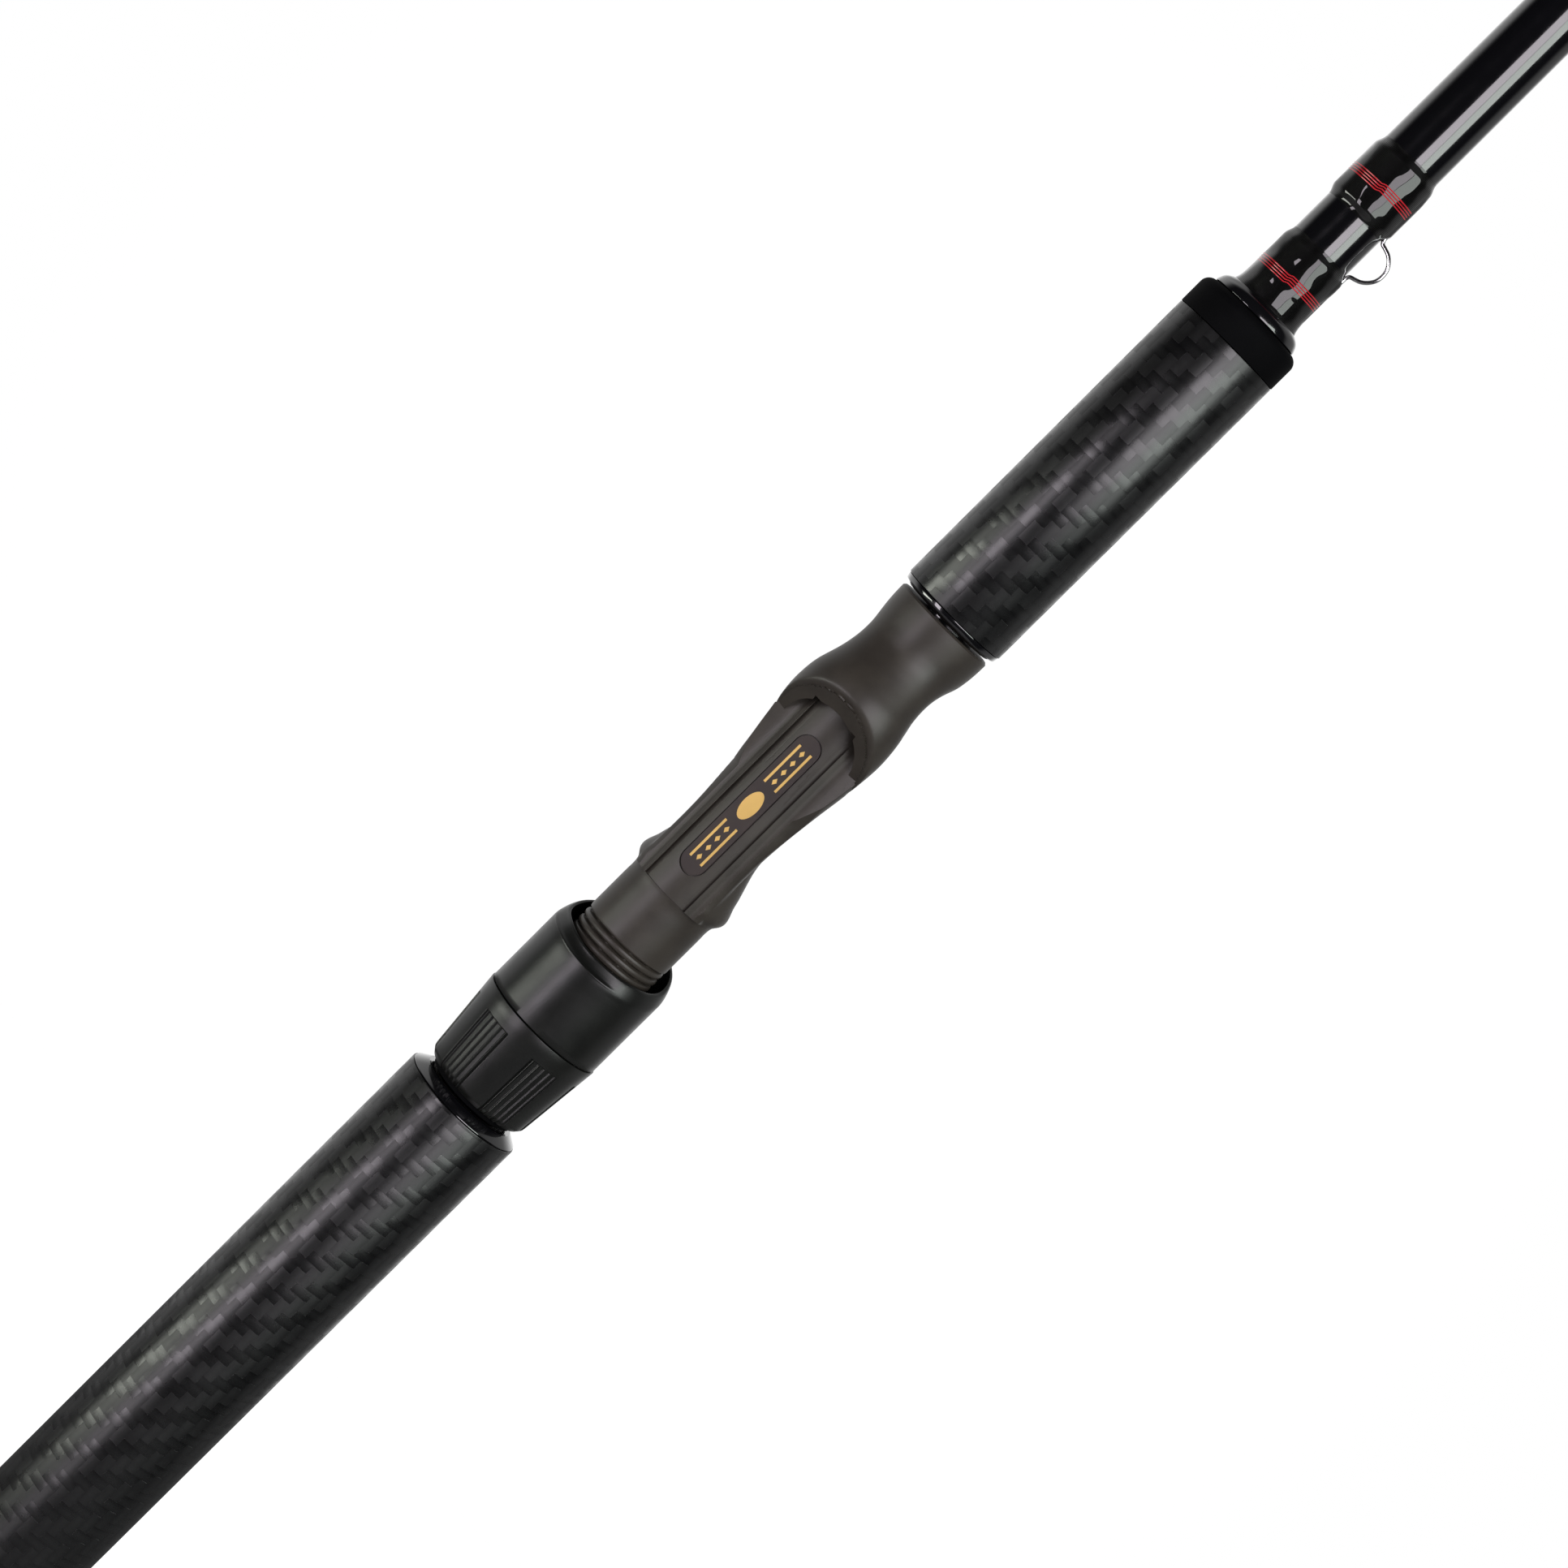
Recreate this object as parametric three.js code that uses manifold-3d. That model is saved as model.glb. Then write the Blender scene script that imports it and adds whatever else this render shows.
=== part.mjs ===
// Two-piece spinning rod, standing upright on its butt.
// Millimetres. +Z runs from the butt to the tip, -Y is the side that the reel and the guides hang on.
import * as THREE from 'three';
import { mergeVertices } from 'three/addons/utils/BufferGeometryUtils.js';
import Module from 'manifold-3d';

const wasm = await Module();
wasm.setup();

// ---- driving dimensions ----------------------------------------------------------------------
const ROUND = 24; // facets round a grip or a blank
const SMALL_ROUND = 16; // facets round a guide ring
const GAP = 0.1; // between pieces that are glued or pressed together
const SLIDE_GAP = 0.25; // between pieces that slide or turn on each other

const ROD_LENGTH = 2743;
const BUTT_TOP = 1450; // upper end of the butt section, inside the ferrule
const FERRULE_LENGTH = 80;
const BLANK_BUTT_R = 7.2;
const BLANK_KEEPER_R = 6.8; // at the hook keeper
const BLANK_KEEPER_Z = 540;
const BLANK_FERRULE_R = 4.45; // at BUTT_TOP
const BLANK_WALL = 1.1;
const FERRULE_WALL = 0.9;
const TIP_R = 1.15;
const TIP_BORE_TOP = 2300; // the tip section is solid above this

const CAP_TOP = 26;
const CAP_R = 14.4;
const TRIM_TOP = 29;
const REAR_GRIP_TOP = 300;
const REAR_GRIP_R = 13.7;
const SKIN_WALL = 0.8;
const REAR_RING_TOP = 301.8;

const SEAT_BOTTOM = 302.3;
const SEAT_TOP = 434.6;
const BARREL_R = 10;
const THREAD_TOP = 346.7;
const THREAD_PITCH = 1.75;
const THREAD_ROOT_R = 9.25;
const SEAT_BORE_R = 8.3; // round the arbors
const SEAT_WAIST_BORE_R = 7.15; // round the blank alone
const WAIST_BORE_BOTTOM = 350;
const WAIST_BORE_TOP = 404;
const RAIL_R = 11.2; // top of the two rails
const CHANNEL_WIDTH = 10.8;
const RAIL_BOTTOM = 359.6;
const POCKET_BOTTOM = 396;
const POCKET_TOP = 415; // how far the reel foot reaches under the fixed hood
const POCKET_MIDDLE_Y = -8;
const POCKET_HALF_WIDTH = 9;
const POCKET_HALF_DEPTH = 6.6;
const MOUTH_Z = 408.3; // the fixed hood's rim plane passes here, MOUTH_Y in front of the axis
const MOUTH_Y = -17;
const MOUTH_RISE = 8.3 / 7; // rise of the rim plane for each millimetre towards the reel
const BADGE_Z = 383.5;
const BADGE_LENGTH = 36.3;
const BADGE_R = 2.8;
const BADGE_BED = 9.1; // depth of the badge's recess, from the axis
const BADGE_FACE = 9.9;

const NUT_BOTTOM = 302.6;
const NUT_TOP = 322.6;
const NUT_BORE_R = 10.9;
const RIBS_BOTTOM = 303;
const RIBS_TOP = 318.2;
const HOOD_BOTTOM = 322.8;
const HOOD_TOP = 348.8;
const HOOD_R = 13.7;
const HOOD_POCKET_R = 11.9;
const HOOD_POCKET_BOTTOM = 329;
const HOOD_POCKET_BACK = 2.5; // the pocket is open as far back as this
const HOOD_MOUTH_Z = 341; // the sliding hood's rim on the reel side
const HOOD_MOUTH_BACK = 2.4; // the rim meets the nose this far behind the axis

const FORE_RING_BOTTOM = 435.2;
const FORE_GRIP_BOTTOM = 437;
const FORE_GRIP_TOP = 510.6;
const FORE_GRIP_R = 12.15;
const FORE_CAP_TOP = 517.9;
const FORE_CAP_R = 12.2;
const CHECK_TOP = 520.8;

const KEEPER_WRAPS = [[521, 534.9], [545.3, 559]];
const KEEPER_WIRE_R = 0.45;

// Guides: height up the rod, ring size, how far the ring's middle stands off the axis, feet.
const GUIDES = [
  { z: 1153, size: 30, stand: 34, feet: 2 },
  { z: 1523, size: 20, stand: 25, feet: 2 },
  { z: 1798, size: 12, stand: 17, feet: 2 },
  { z: 2023, size: 10, stand: 12.5, feet: 1 },
  { z: 2208, size: 8, stand: 10, feet: 1 },
  { z: 2368, size: 8, stand: 9.5, feet: 1 },
  { z: 2508, size: 8, stand: 9, feet: 1 },
  { z: 2633, size: 8, stand: 8.5, feet: 1 },
];
const HOOP_WALL = 1.1;
const HOOP_HEIGHT = 1.3;
const FOOT_THICKNESS = 0.9;
const LEG_ANGLE = 0.75; // each upper leg meets the hoop this far round from the blank side
const TIP_RING_SIZE = 6;
const TIP_RING_STAND = 5.4;
const TIP_TUBE_BOTTOM = ROD_LENGTH - 18;
const TIP_TUBE_TOP = ROD_LENGTH - 2.6;

// ---- materials -------------------------------------------------------------------------------
const material = (color, roughness, metalness) =>
  new THREE.MeshStandardMaterial({ color, roughness, metalness });

const CARBON = material('#3b3b3d', 0.5, 0.1);
const SEAT_GREY = material('#4a4543', 0.55, 0);
const HOOD_GREY = material('#3f423f', 0.5, 0);
const GLOSS_BLACK = material('#0a0a0c', 0.12, 0);
const MATTE_BLACK = material('#1c1c1d', 0.7, 0);
const EPOXY = material('#101011', 0.1, 0);
const FOAM = material('#2a2a2a', 0.9, 0);
const BADGE = material('#5a3d22', 0.35, 0.3);
const STEEL = material('#c9cacc', 0.25, 1);
const FRAME_GREY = material('#55575a', 0.3, 1);
const CERAMIC = material('#24262a', 0.15, 0);

// ---- helpers ---------------------------------------------------------------------------------
const model = new THREE.Group();

function add(name, geometry, look) {
  const mesh = new THREE.Mesh(geometry, look);
  mesh.name = name;
  model.add(mesh);
}

// A closed geometry as a manifold-3d solid.
function solid(geometry) {
  const bare = geometry.index ? geometry.toNonIndexed() : geometry.clone();
  bare.deleteAttribute('normal');
  bare.deleteAttribute('uv');
  const merged = mergeVertices(bare, 1e-3);
  const corners = merged.index.array;
  const kept = [];
  for (let i = 0; i < corners.length; i += 3) {
    const [a, b, c] = [corners[i], corners[i + 1], corners[i + 2]];
    if (a !== b && b !== c && c !== a) kept.push(a, b, c);
  }
  const vertProperties = merged.attributes.position.array;
  return new wasm.Manifold(
    new wasm.Mesh({ numProp: 3, vertProperties, triVerts: new Uint32Array(kept) }),
  );
}

function geometryOf(made) {
  const { vertProperties, triVerts } = made.getMesh();
  const geometry = new THREE.BufferGeometry();
  geometry.setAttribute('position', new THREE.BufferAttribute(vertProperties, 3));
  geometry.setIndex(new THREE.BufferAttribute(triVerts, 1));
  geometry.computeVertexNormals();
  return geometry;
}

// Turns [radius, z] points about the Z axis. The points run up the outside.
function revolve(points, facets = ROUND) {
  const profile = points.map(([r, z]) => new THREE.Vector2(r, z));
  return new THREE.LatheGeometry(profile, facets).rotateX(Math.PI / 2);
}

const sleeve = (inner, outer, z0, z1, facets = ROUND) =>
  revolve([[outer, z0], [outer, z1], [inner, z1], [inner, z0], [outer, z0]], facets);

const rod = (r, z0, z1, facets = ROUND) =>
  revolve([[0, z0], [r, z0], [r, z1], [0, z1]], facets);

function box(x0, x1, y0, y1, z0, z1) {
  const geometry = new THREE.BoxGeometry(x1 - x0, y1 - y0, z1 - z0);
  return geometry.translate((x0 + x1) / 2, (y0 + y1) / 2, (z0 + z1) / 2);
}

// A flat bar between two points, width across X where it can be.
function bar(from, to, width, thickness) {
  const start = new THREE.Vector3(...from);
  const end = new THREE.Vector3(...to);
  const along = end.clone().sub(start);
  const length = along.length();
  along.normalize();
  const across = new THREE.Vector3(1, 0, 0);
  across.addScaledVector(along, -across.dot(along)).normalize();
  const through = along.clone().cross(across);
  const turn = new THREE.Matrix4().makeBasis(across, through, along);
  const geometry = new THREE.BoxGeometry(width, thickness, length);
  const middle = start.clone().add(end).multiplyScalar(0.5);
  return geometry.applyMatrix4(turn).translate(middle.x, middle.y, middle.z);
}

const union = (solids) => solids.reduce((joined, next) => joined.add(next));

// Smooth curve through [z, value] points, in order of z.
function curveAt(table, z) {
  const last = table.length - 1;
  if (z <= table[0][0]) return table[0][1];
  if (z >= table[last][0]) return table[last][1];
  const i = table.findIndex((row) => row[0] > z) - 1;
  const [z1, v1] = table[i];
  const [z2, v2] = table[i + 1];
  const [z0, v0] = table[Math.max(i - 1, 0)];
  const [z3, v3] = table[Math.min(i + 2, last)];
  const slope1 = (v2 - v0) / (z2 - z0);
  const slope2 = (v3 - v1) / (z3 - z1);
  const t = (z - z1) / (z2 - z1);
  const span = z2 - z1;
  return (
    v1 * (2 * t ** 3 - 3 * t ** 2 + 1) +
    span * slope1 * (t ** 3 - 2 * t ** 2 + t) +
    v2 * (3 * t ** 2 - 2 * t ** 3) +
    span * slope2 * (t ** 3 - t ** 2)
  );
}

const mix = (a, b, t) => a + (b - a) * t;

// ---- blank -----------------------------------------------------------------------------------
const FERRULE_Z = BUTT_TOP - FERRULE_LENGTH;

function buttRadius(z) {
  if (z < BLANK_KEEPER_Z) return mix(BLANK_BUTT_R, BLANK_KEEPER_R, z / BLANK_KEEPER_Z);
  const t = (z - BLANK_KEEPER_Z) / (BUTT_TOP - BLANK_KEEPER_Z);
  return mix(BLANK_KEEPER_R, BLANK_FERRULE_R, t);
}

function tipRadius(z) {
  const root = buttRadius(FERRULE_Z) + GAP + FERRULE_WALL;
  return mix(root, TIP_R, (z - FERRULE_Z) / (ROD_LENGTH - FERRULE_Z));
}

const blankRadius = (z) => (z < FERRULE_Z ? buttRadius(z) : tipRadius(z));

function buttBlank() {
  const stations = [6, BLANK_KEEPER_Z, BUTT_TOP];
  const outside = stations.map((z) => [buttRadius(z), z]);
  const inside = stations.map((z) => [buttRadius(z) - BLANK_WALL, z]).reverse();
  return revolve([...outside, ...inside, outside[0]]);
}

function tipBlank() {
  const top = ROD_LENGTH - 4;
  return revolve([
    [0, TIP_BORE_TOP],
    [tipRadius(TIP_BORE_TOP) - BLANK_WALL, TIP_BORE_TOP],
    [buttRadius(BUTT_TOP) + GAP, BUTT_TOP],
    [buttRadius(FERRULE_Z) + GAP, FERRULE_Z],
    [tipRadius(FERRULE_Z), FERRULE_Z],
    [tipRadius(BUTT_TOP), BUTT_TOP],
    [tipRadius(top), top],
    [0, top],
  ]);
}

// ---- butt end and rear grip ------------------------------------------------------------------
function buttCap() {
  const bore = BLANK_BUTT_R + GAP;
  return revolve([
    [0, 0], [CAP_R - 2.4, 0], [CAP_R - 0.7, 0.7], [CAP_R, 2.4], [CAP_R, CAP_TOP - 1.5],
    [CAP_R - 0.6, CAP_TOP], [bore, CAP_TOP], [bore, 5], [0, 5],
  ]);
}

function bevelRing(z0, z1, r0, r1, bore) {
  return revolve([[r0, z0], [r1, z1], [bore, z1], [bore, z0], [r0, z0]]);
}

function addRearGrip() {
  const bore = BLANK_BUTT_R + GAP;
  const skinInside = REAR_GRIP_R - SKIN_WALL;
  add('butt_cap', buttCap(), MATTE_BLACK);
  add('butt_trim_ring', sleeve(bore, REAR_GRIP_R + 0.3, CAP_TOP + GAP, TRIM_TOP), STEEL);
  const core = sleeve(bore, skinInside - GAP, TRIM_TOP + GAP, REAR_GRIP_TOP - GAP);
  add('rear_grip_core', core, FOAM);
  const skin = sleeve(skinInside, REAR_GRIP_R, TRIM_TOP + GAP, REAR_GRIP_TOP - GAP);
  add('rear_grip_skin', skin, CARBON);
  const ring = bevelRing(REAR_GRIP_TOP, REAR_RING_TOP, REAR_GRIP_R, 11, bore);
  add('rear_grip_end_ring', ring, GLOSS_BLACK);
}

// ---- reel seat -------------------------------------------------------------------------------
// Radius of the seat's round part about the axis, up the rod.
const SEAT_ROUND = [
  [346, 10], [356, 10], [359.6, 10], [361.2, 11.2], [366, 10.4], [375, 7.95], [383, 7.95],
  [390.5, 8.5], [398.5, 9.5], [407.5, 10.5], [413, 9.9], [420, 8.85], [427, 10.1], [434.6, 11],
];
// Half width, half depth and forward set of the oval that makes the rails and the fixed hood.
const OVAL_WIDTH = [
  [359.6, 8.9], [379, 8.95], [390.5, 10.1], [398.5, 11.2], [408, 11.95], [413, 11.3],
  [418, 10], [424, 8.6], [434.6, 8.6],
];
const OVAL_DEPTH = [
  [359.6, 6.6], [379, 6.6], [398.5, 8.6], [408, 9.4], [413, 9.2], [417.5, 8.3], [421, 7.2],
  [425, 6.6], [434.6, 6.6],
];
const OVAL_FORWARD = [
  [359.6, 5.9], [379, 6], [398.5, 6.4], [408, 7.8], [413, 7.8], [417.5, 6.4], [421, 4.2],
  [425, 2.4], [434.6, 2],
];
// Up to here the seat is no wider than its rails, and above it rises steadily into the hood.
const HOOD_STARTS = 387;
const HOOD_SWELL = 0.3;

const smoothMax = (a, b, k) => (a + b + Math.sqrt((a - b) ** 2 + k * k)) / 2;

// Distance from the axis to the oval, at an angle from the reel side.
function ovalRadius(angle, z) {
  const wide = curveAt(OVAL_WIDTH, z);
  const deep = curveAt(OVAL_DEPTH, z);
  const forward = curveAt(OVAL_FORWARD, z);
  const [s, c] = [Math.sin(angle), Math.cos(angle)];
  const a = (s / wide) ** 2 + (c / deep) ** 2;
  const b = (-2 * forward * c) / deep ** 2;
  const rest = (forward / deep) ** 2 - 1;
  return (-b + Math.sqrt(b * b - 4 * a * rest)) / (2 * a);
}

function seatRadius(angle, z) {
  if (z < RAIL_BOTTOM) return BARREL_R;
  const limit = RAIL_R + HOOD_SWELL * Math.max(z - HOOD_STARTS, 0);
  return smoothMax(curveAt(SEAT_ROUND, z), Math.min(ovalRadius(angle, z), limit), 0.5);
}

// The seat's outside above the thread: a lathe turned blank pushed out to seatRadius.
function seatOutside(facets) {
  const heights = [THREAD_TOP, 359.5, 361.2, 364, 368, 373, 379, HOOD_STARTS, 391, 395, 399];
  heights.push(402, 405, 408, 411, 414, 417, 420, 424, 429, SEAT_TOP);
  const profile = [[0, heights[0]], ...heights.map((z) => [1, z]), [0, SEAT_TOP]];
  const geometry = revolve(profile, facets);
  const at = geometry.attributes.position;
  for (let i = 0; i < at.count; i += 1) {
    const [x, y, z] = [at.getX(i), at.getY(i), at.getZ(i)];
    if (Math.hypot(x, y) > 0.5) {
      const r = seatRadius(Math.atan2(x, -y), z);
      at.setXY(i, x * r, y * r);
    }
  }
  return geometry;
}

// A round thread: each row of the lathe climbs one pitch in a turn, and is held between the ends.
function thread(z0, z1, facets) {
  const rows = [];
  for (let z = z0 - THREAD_PITCH; z < z1 + THREAD_PITCH; z += THREAD_PITCH / 2) rows.push(z);
  const profile = [[0, rows[0]], ...rows.map((z) => [1, z]), [0, rows[rows.length - 1]]];
  const geometry = revolve(profile, facets);
  const at = geometry.attributes.position;
  const perTurn = profile.length;
  for (let i = 0; i < at.count; i += 1) {
    const row = (i % perTurn) - 1;
    const turn = Math.floor(i / perTurn) / facets;
    const climbed = at.getZ(i) + turn * THREAD_PITCH;
    const z = Math.min(Math.max(climbed, z0), z1);
    const crest = row % 2 === 1 && z > z0 + 1e-6 && z < z1 - 1e-6;
    const r = crest ? BARREL_R : THREAD_ROOT_R;
    at.setXYZ(i, at.getX(i) * r, at.getY(i) * r, z);
  }
  return geometry;
}

const roundKept = (r) => solid(rod(r, 340, 425, 48));
const railsKept = () => roundKept(RAIL_R);

// What is cut off in front of the rails, up to the slanted rim of the fixed hood.
function mouthCutter() {
  const half = HOOD_R;
  const block = box(-half, half, -30, 30, -60, 0).rotateX(-Math.atan(MOUTH_RISE));
  block.translate(0, MOUTH_Y, MOUTH_Z);
  const inFront = box(-half, half, -40, -RAIL_R * 0.8, 340, 430);
  return solid(block).intersect(solid(inFront)).subtract(railsKept());
}

// The arch that the front of the reel's foot slides into.
function pocketCutter() {
  const [wide, deep] = [POCKET_HALF_WIDTH, POCKET_HALF_DEPTH];
  const outline = new THREE.Shape();
  outline.absellipse(0, POCKET_MIDDLE_Y, wide, deep, 0, Math.PI * 2, false, 0);
  const depth = POCKET_TOP - POCKET_BOTTOM;
  const arch = new THREE.ExtrudeGeometry(outline, { depth, bevelEnabled: false, curveSegments: 10 });
  return solid(arch.translate(0, 0, POCKET_BOTTOM)).subtract(railsKept());
}

function channelCutter() {
  const half = CHANNEL_WIDTH / 2;
  const slot = solid(box(-half, half, -13, 0, RAIL_BOTTOM - 2, POCKET_TOP));
  return slot.subtract(roundKept(BARREL_R));
}

function badgeOutline(grow) {
  const length = BADGE_LENGTH / 2 - BADGE_R;
  const r = BADGE_R + grow;
  const outline = new THREE.Shape();
  outline.absarc(0, length, r, 0, Math.PI, false);
  outline.absarc(0, -length, r, Math.PI, Math.PI * 2, false);
  return outline;
}

// A block with the badge's outline, facing -Y in the channel and reaching in to depth `bed`.
function badgeBlock(grow, bed) {
  const depth = BARREL_R + 2 - bed;
  const outline = badgeOutline(grow);
  const block = new THREE.ExtrudeGeometry(outline, { depth, bevelEnabled: false, curveSegments: 6 });
  return block.rotateX(Math.PI / 2).translate(0, -bed, BADGE_Z);
}

function reelSeat() {
  const bore = revolve([
    [0, SEAT_BOTTOM - 1], [SEAT_BORE_R, SEAT_BOTTOM - 1], [SEAT_BORE_R, WAIST_BORE_BOTTOM],
    [SEAT_WAIST_BORE_R, WAIST_BORE_BOTTOM + 1], [SEAT_WAIST_BORE_R, WAIST_BORE_TOP - 1],
    [SEAT_BORE_R, WAIST_BORE_TOP], [SEAT_BORE_R, SEAT_TOP + 1], [0, SEAT_TOP + 1],
  ]);
  return solid(seatOutside(32))
    .add(solid(thread(SEAT_BOTTOM, THREAD_TOP, SMALL_ROUND)))
    .add(solid(rod(THREAD_ROOT_R, THREAD_TOP - 1, THREAD_TOP + 1, SMALL_ROUND)))
    .subtract(mouthCutter())
    .subtract(pocketCutter())
    .subtract(channelCutter())
    .subtract(solid(badgeBlock(0.2, BADGE_BED)))
    .subtract(solid(bore));
}

function addSeat() {
  add('reel_seat_body', geometryOf(reelSeat()), SEAT_GREY);
  const inset = solid(badgeBlock(0, BADGE_BED + 0.2)).intersect(roundKept(BADGE_FACE));
  add('seat_badge', geometryOf(inset), BADGE);
  const arborR = SEAT_BORE_R - GAP;
  const rear = sleeve(buttRadius(304) + GAP, arborR, 304, WAIST_BORE_BOTTOM - 2);
  add('seat_arbor_rear', rear, FOAM);
  const front = sleeve(buttRadius(406) + GAP, arborR, WAIST_BORE_TOP + 2, SEAT_TOP - 1);
  add('seat_arbor_front', front, FOAM);
}

// ---- lock nut and sliding hood ---------------------------------------------------------------
const PANELS = 6;
const RIBS = 5;
const RIB_PITCH = THREE.MathUtils.degToRad(6);
const RIB_HEIGHT = 0.35;

// The nut's outside, [radius, z], without its ribs.
const NUT_WALL = [[10.9, 302.6], [11.85, 304.1], [12.95, 318], [12.98, 318.4], [13.3, 321.8]];
// The hood's rounded nose, [radius, z].
const HOOD_NOSE = [[HOOD_R, 341], [13.2, 343.6], [12.3, 345.8], [11.2, 347.6], [10.6, HOOD_TOP]];

// How far a point on the nut stands proud: 1 on a rib's crest, 0 between ribs and between panels.
function ribAt(angle) {
  const panel = (2 * Math.PI) / PANELS;
  const offset = THREE.MathUtils.euclideanModulo(angle, panel) - panel / 2;
  const ribs = offset / RIB_PITCH;
  if (Math.abs(ribs) > RIBS / 2) return 0;
  return 0.5 + 0.5 * Math.cos(2 * Math.PI * ribs);
}

function nutShell() {
  const profile = [[0, NUT_BOTTOM], ...NUT_WALL, [HOOD_R, NUT_TOP], [0, NUT_TOP]];
  const geometry = revolve(profile, 120);
  const at = geometry.attributes.position;
  for (let i = 0; i < at.count; i += 1) {
    const [x, y, z] = [at.getX(i), at.getY(i), at.getZ(i)];
    const r = Math.hypot(x, y);
    if (r > 1 && z > RIBS_BOTTOM && z < RIBS_TOP) {
      const grown = 1 + (RIB_HEIGHT * ribAt(Math.atan2(x, -y))) / r;
      at.setXY(i, x * grown, y * grown);
    }
  }
  return solid(geometry).subtract(solid(rod(NUT_BORE_R, NUT_BOTTOM - 1, NUT_TOP + 1)));
}

function hoodShell() {
  const [below, above] = [HOOD_BOTTOM - 1, HOOD_TOP + 1];
  const outside = revolve([[0, HOOD_BOTTOM], [HOOD_R, HOOD_BOTTOM], ...HOOD_NOSE, [0, HOOD_TOP]], 32);
  const bore = rod(BARREL_R + SLIDE_GAP + GAP, below, above, 32);
  const pocket = solid(rod(HOOD_POCKET_R, HOOD_POCKET_BOTTOM, above, 32));
  const frontHalf = solid(box(-20, 20, -20, HOOD_POCKET_BACK, below, above));
  const slant = Math.atan2(HOOD_TOP - HOOD_MOUTH_Z, HOOD_R + HOOD_MOUTH_BACK);
  const beyondRim = box(-20, 20, -20, 40, 0, 30).rotateX(slant);
  beyondRim.translate(0, -HOOD_R, HOOD_MOUTH_Z);
  const linerSeat = rod(HOOD_POCKET_R, below, HOOD_POCKET_BOTTOM, 32);
  return solid(outside)
    .subtract(solid(bore))
    .subtract(pocket.intersect(frontHalf))
    .subtract(solid(beyondRim))
    .subtract(solid(linerSeat));
}

function addNutAndHood() {
  const slideR = BARREL_R + SLIDE_GAP;
  add('nut_shell', geometryOf(nutShell()), HOOD_GREY);
  add('nut_thread_insert', sleeve(slideR, NUT_BORE_R - GAP, RIBS_BOTTOM, NUT_TOP), STEEL);
  add('hood_shell', geometryOf(hoodShell()), HOOD_GREY);
  const liner = sleeve(slideR, HOOD_POCKET_R - GAP, HOOD_BOTTOM, HOOD_POCKET_BOTTOM - GAP, 32);
  add('hood_liner', liner, STEEL);
}

// ---- foregrip, winding check and hook keeper -------------------------------------------------
function addForegrip() {
  const bore = buttRadius(FORE_RING_BOTTOM) + GAP;
  const skinInside = FORE_GRIP_R - SKIN_WALL;
  const rearRing = bevelRing(FORE_RING_BOTTOM, FORE_GRIP_BOTTOM - GAP, 9.95, 12, bore);
  add('foregrip_rear_ring', rearRing, GLOSS_BLACK);
  const core = sleeve(bore, skinInside - GAP, FORE_GRIP_BOTTOM, FORE_GRIP_TOP - GAP);
  add('foregrip_core', core, FOAM);
  const skin = sleeve(skinInside, FORE_GRIP_R, FORE_GRIP_BOTTOM, FORE_GRIP_TOP - GAP);
  add('foregrip_skin', skin, CARBON);
  const cap = revolve([
    [FORE_CAP_R, FORE_GRIP_TOP], [FORE_CAP_R, FORE_CAP_TOP - 2.2], [FORE_CAP_R - 0.6, FORE_CAP_TOP - 0.7],
    [FORE_CAP_R - 2.2, FORE_CAP_TOP], [bore, FORE_CAP_TOP], [bore, FORE_GRIP_TOP],
    [FORE_CAP_R, FORE_GRIP_TOP],
  ]);
  add('foregrip_front_cap', cap, MATTE_BLACK);
  const check = revolve([
    [10.15, FORE_CAP_TOP + GAP], [9.9, 519.2], [7.8, CHECK_TOP], [bore, CHECK_TOP],
    [bore, FORE_CAP_TOP + GAP], [10.15, FORE_CAP_TOP + GAP],
  ]);
  add('winding_check', check, GLOSS_BLACK);
}

// A thread wrap over the blank and over a foot that lies along it, on the side asked for:
// eccentric outside, bored for the blank, with a channel for the foot.
function wrap(z0, z1, side, footHalfWidth, footHeight) {
  const r = Math.max(blankRadius(z0 + 0.01), blankRadius(z1));
  const slope = 1.2;
  const reach = r + footHeight + 0.3;
  const over = Math.hypot(reach, footHalfWidth + 0.2) + 0.5;
  const under = r + 0.55;
  const outerR = (over + under) / 2;
  const shift = (over - under) / 2;
  const body = revolve([
    [0, z0], [outerR - 0.2, z0], [outerR, z0 + slope], [outerR, z1 - slope],
    [outerR - 0.2, z1], [0, z1],
  ], SMALL_ROUND);
  body.translate(side.x * shift, side.y * shift, 0);
  const bore = rod(r + GAP, z0 - 1, z1 + 1);
  const slot = box(-footHalfWidth - 0.2, footHalfWidth + 0.2, -reach, 0, z0 - 1, z1 + 1);
  slot.rotateZ(Math.atan2(side.x, -side.y));
  return solid(body).subtract(solid(bore)).subtract(solid(slot));
}

const GUIDE_SIDE = { x: 0, y: -1 };
const KEEPER_SIDE = { x: 1, y: 0 };

function hookKeeper() {
  const low = BLANK_KEEPER_R + GAP + KEEPER_WIRE_R + 0.05;
  const route = [
    [low, 524], [low, 532], [low + 0.1, 534.9], [9.4, 536.2], [12, 537.5], [12.7, 540.1], [12, 542.7],
    [9.4, 544], [low + 0.1, 545.3], [low, 548.2], [low, 556],
  ].map(([x, z]) => new THREE.Vector3(x, 0, z));
  const path = new THREE.CatmullRomCurve3(route, false, 'centripetal');
  const section = new THREE.Shape();
  section.absarc(0, 0, KEEPER_WIRE_R, 0, Math.PI * 2);
  return new THREE.ExtrudeGeometry(section, { steps: 36, extrudePath: path, curveSegments: 4 });
}

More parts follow.
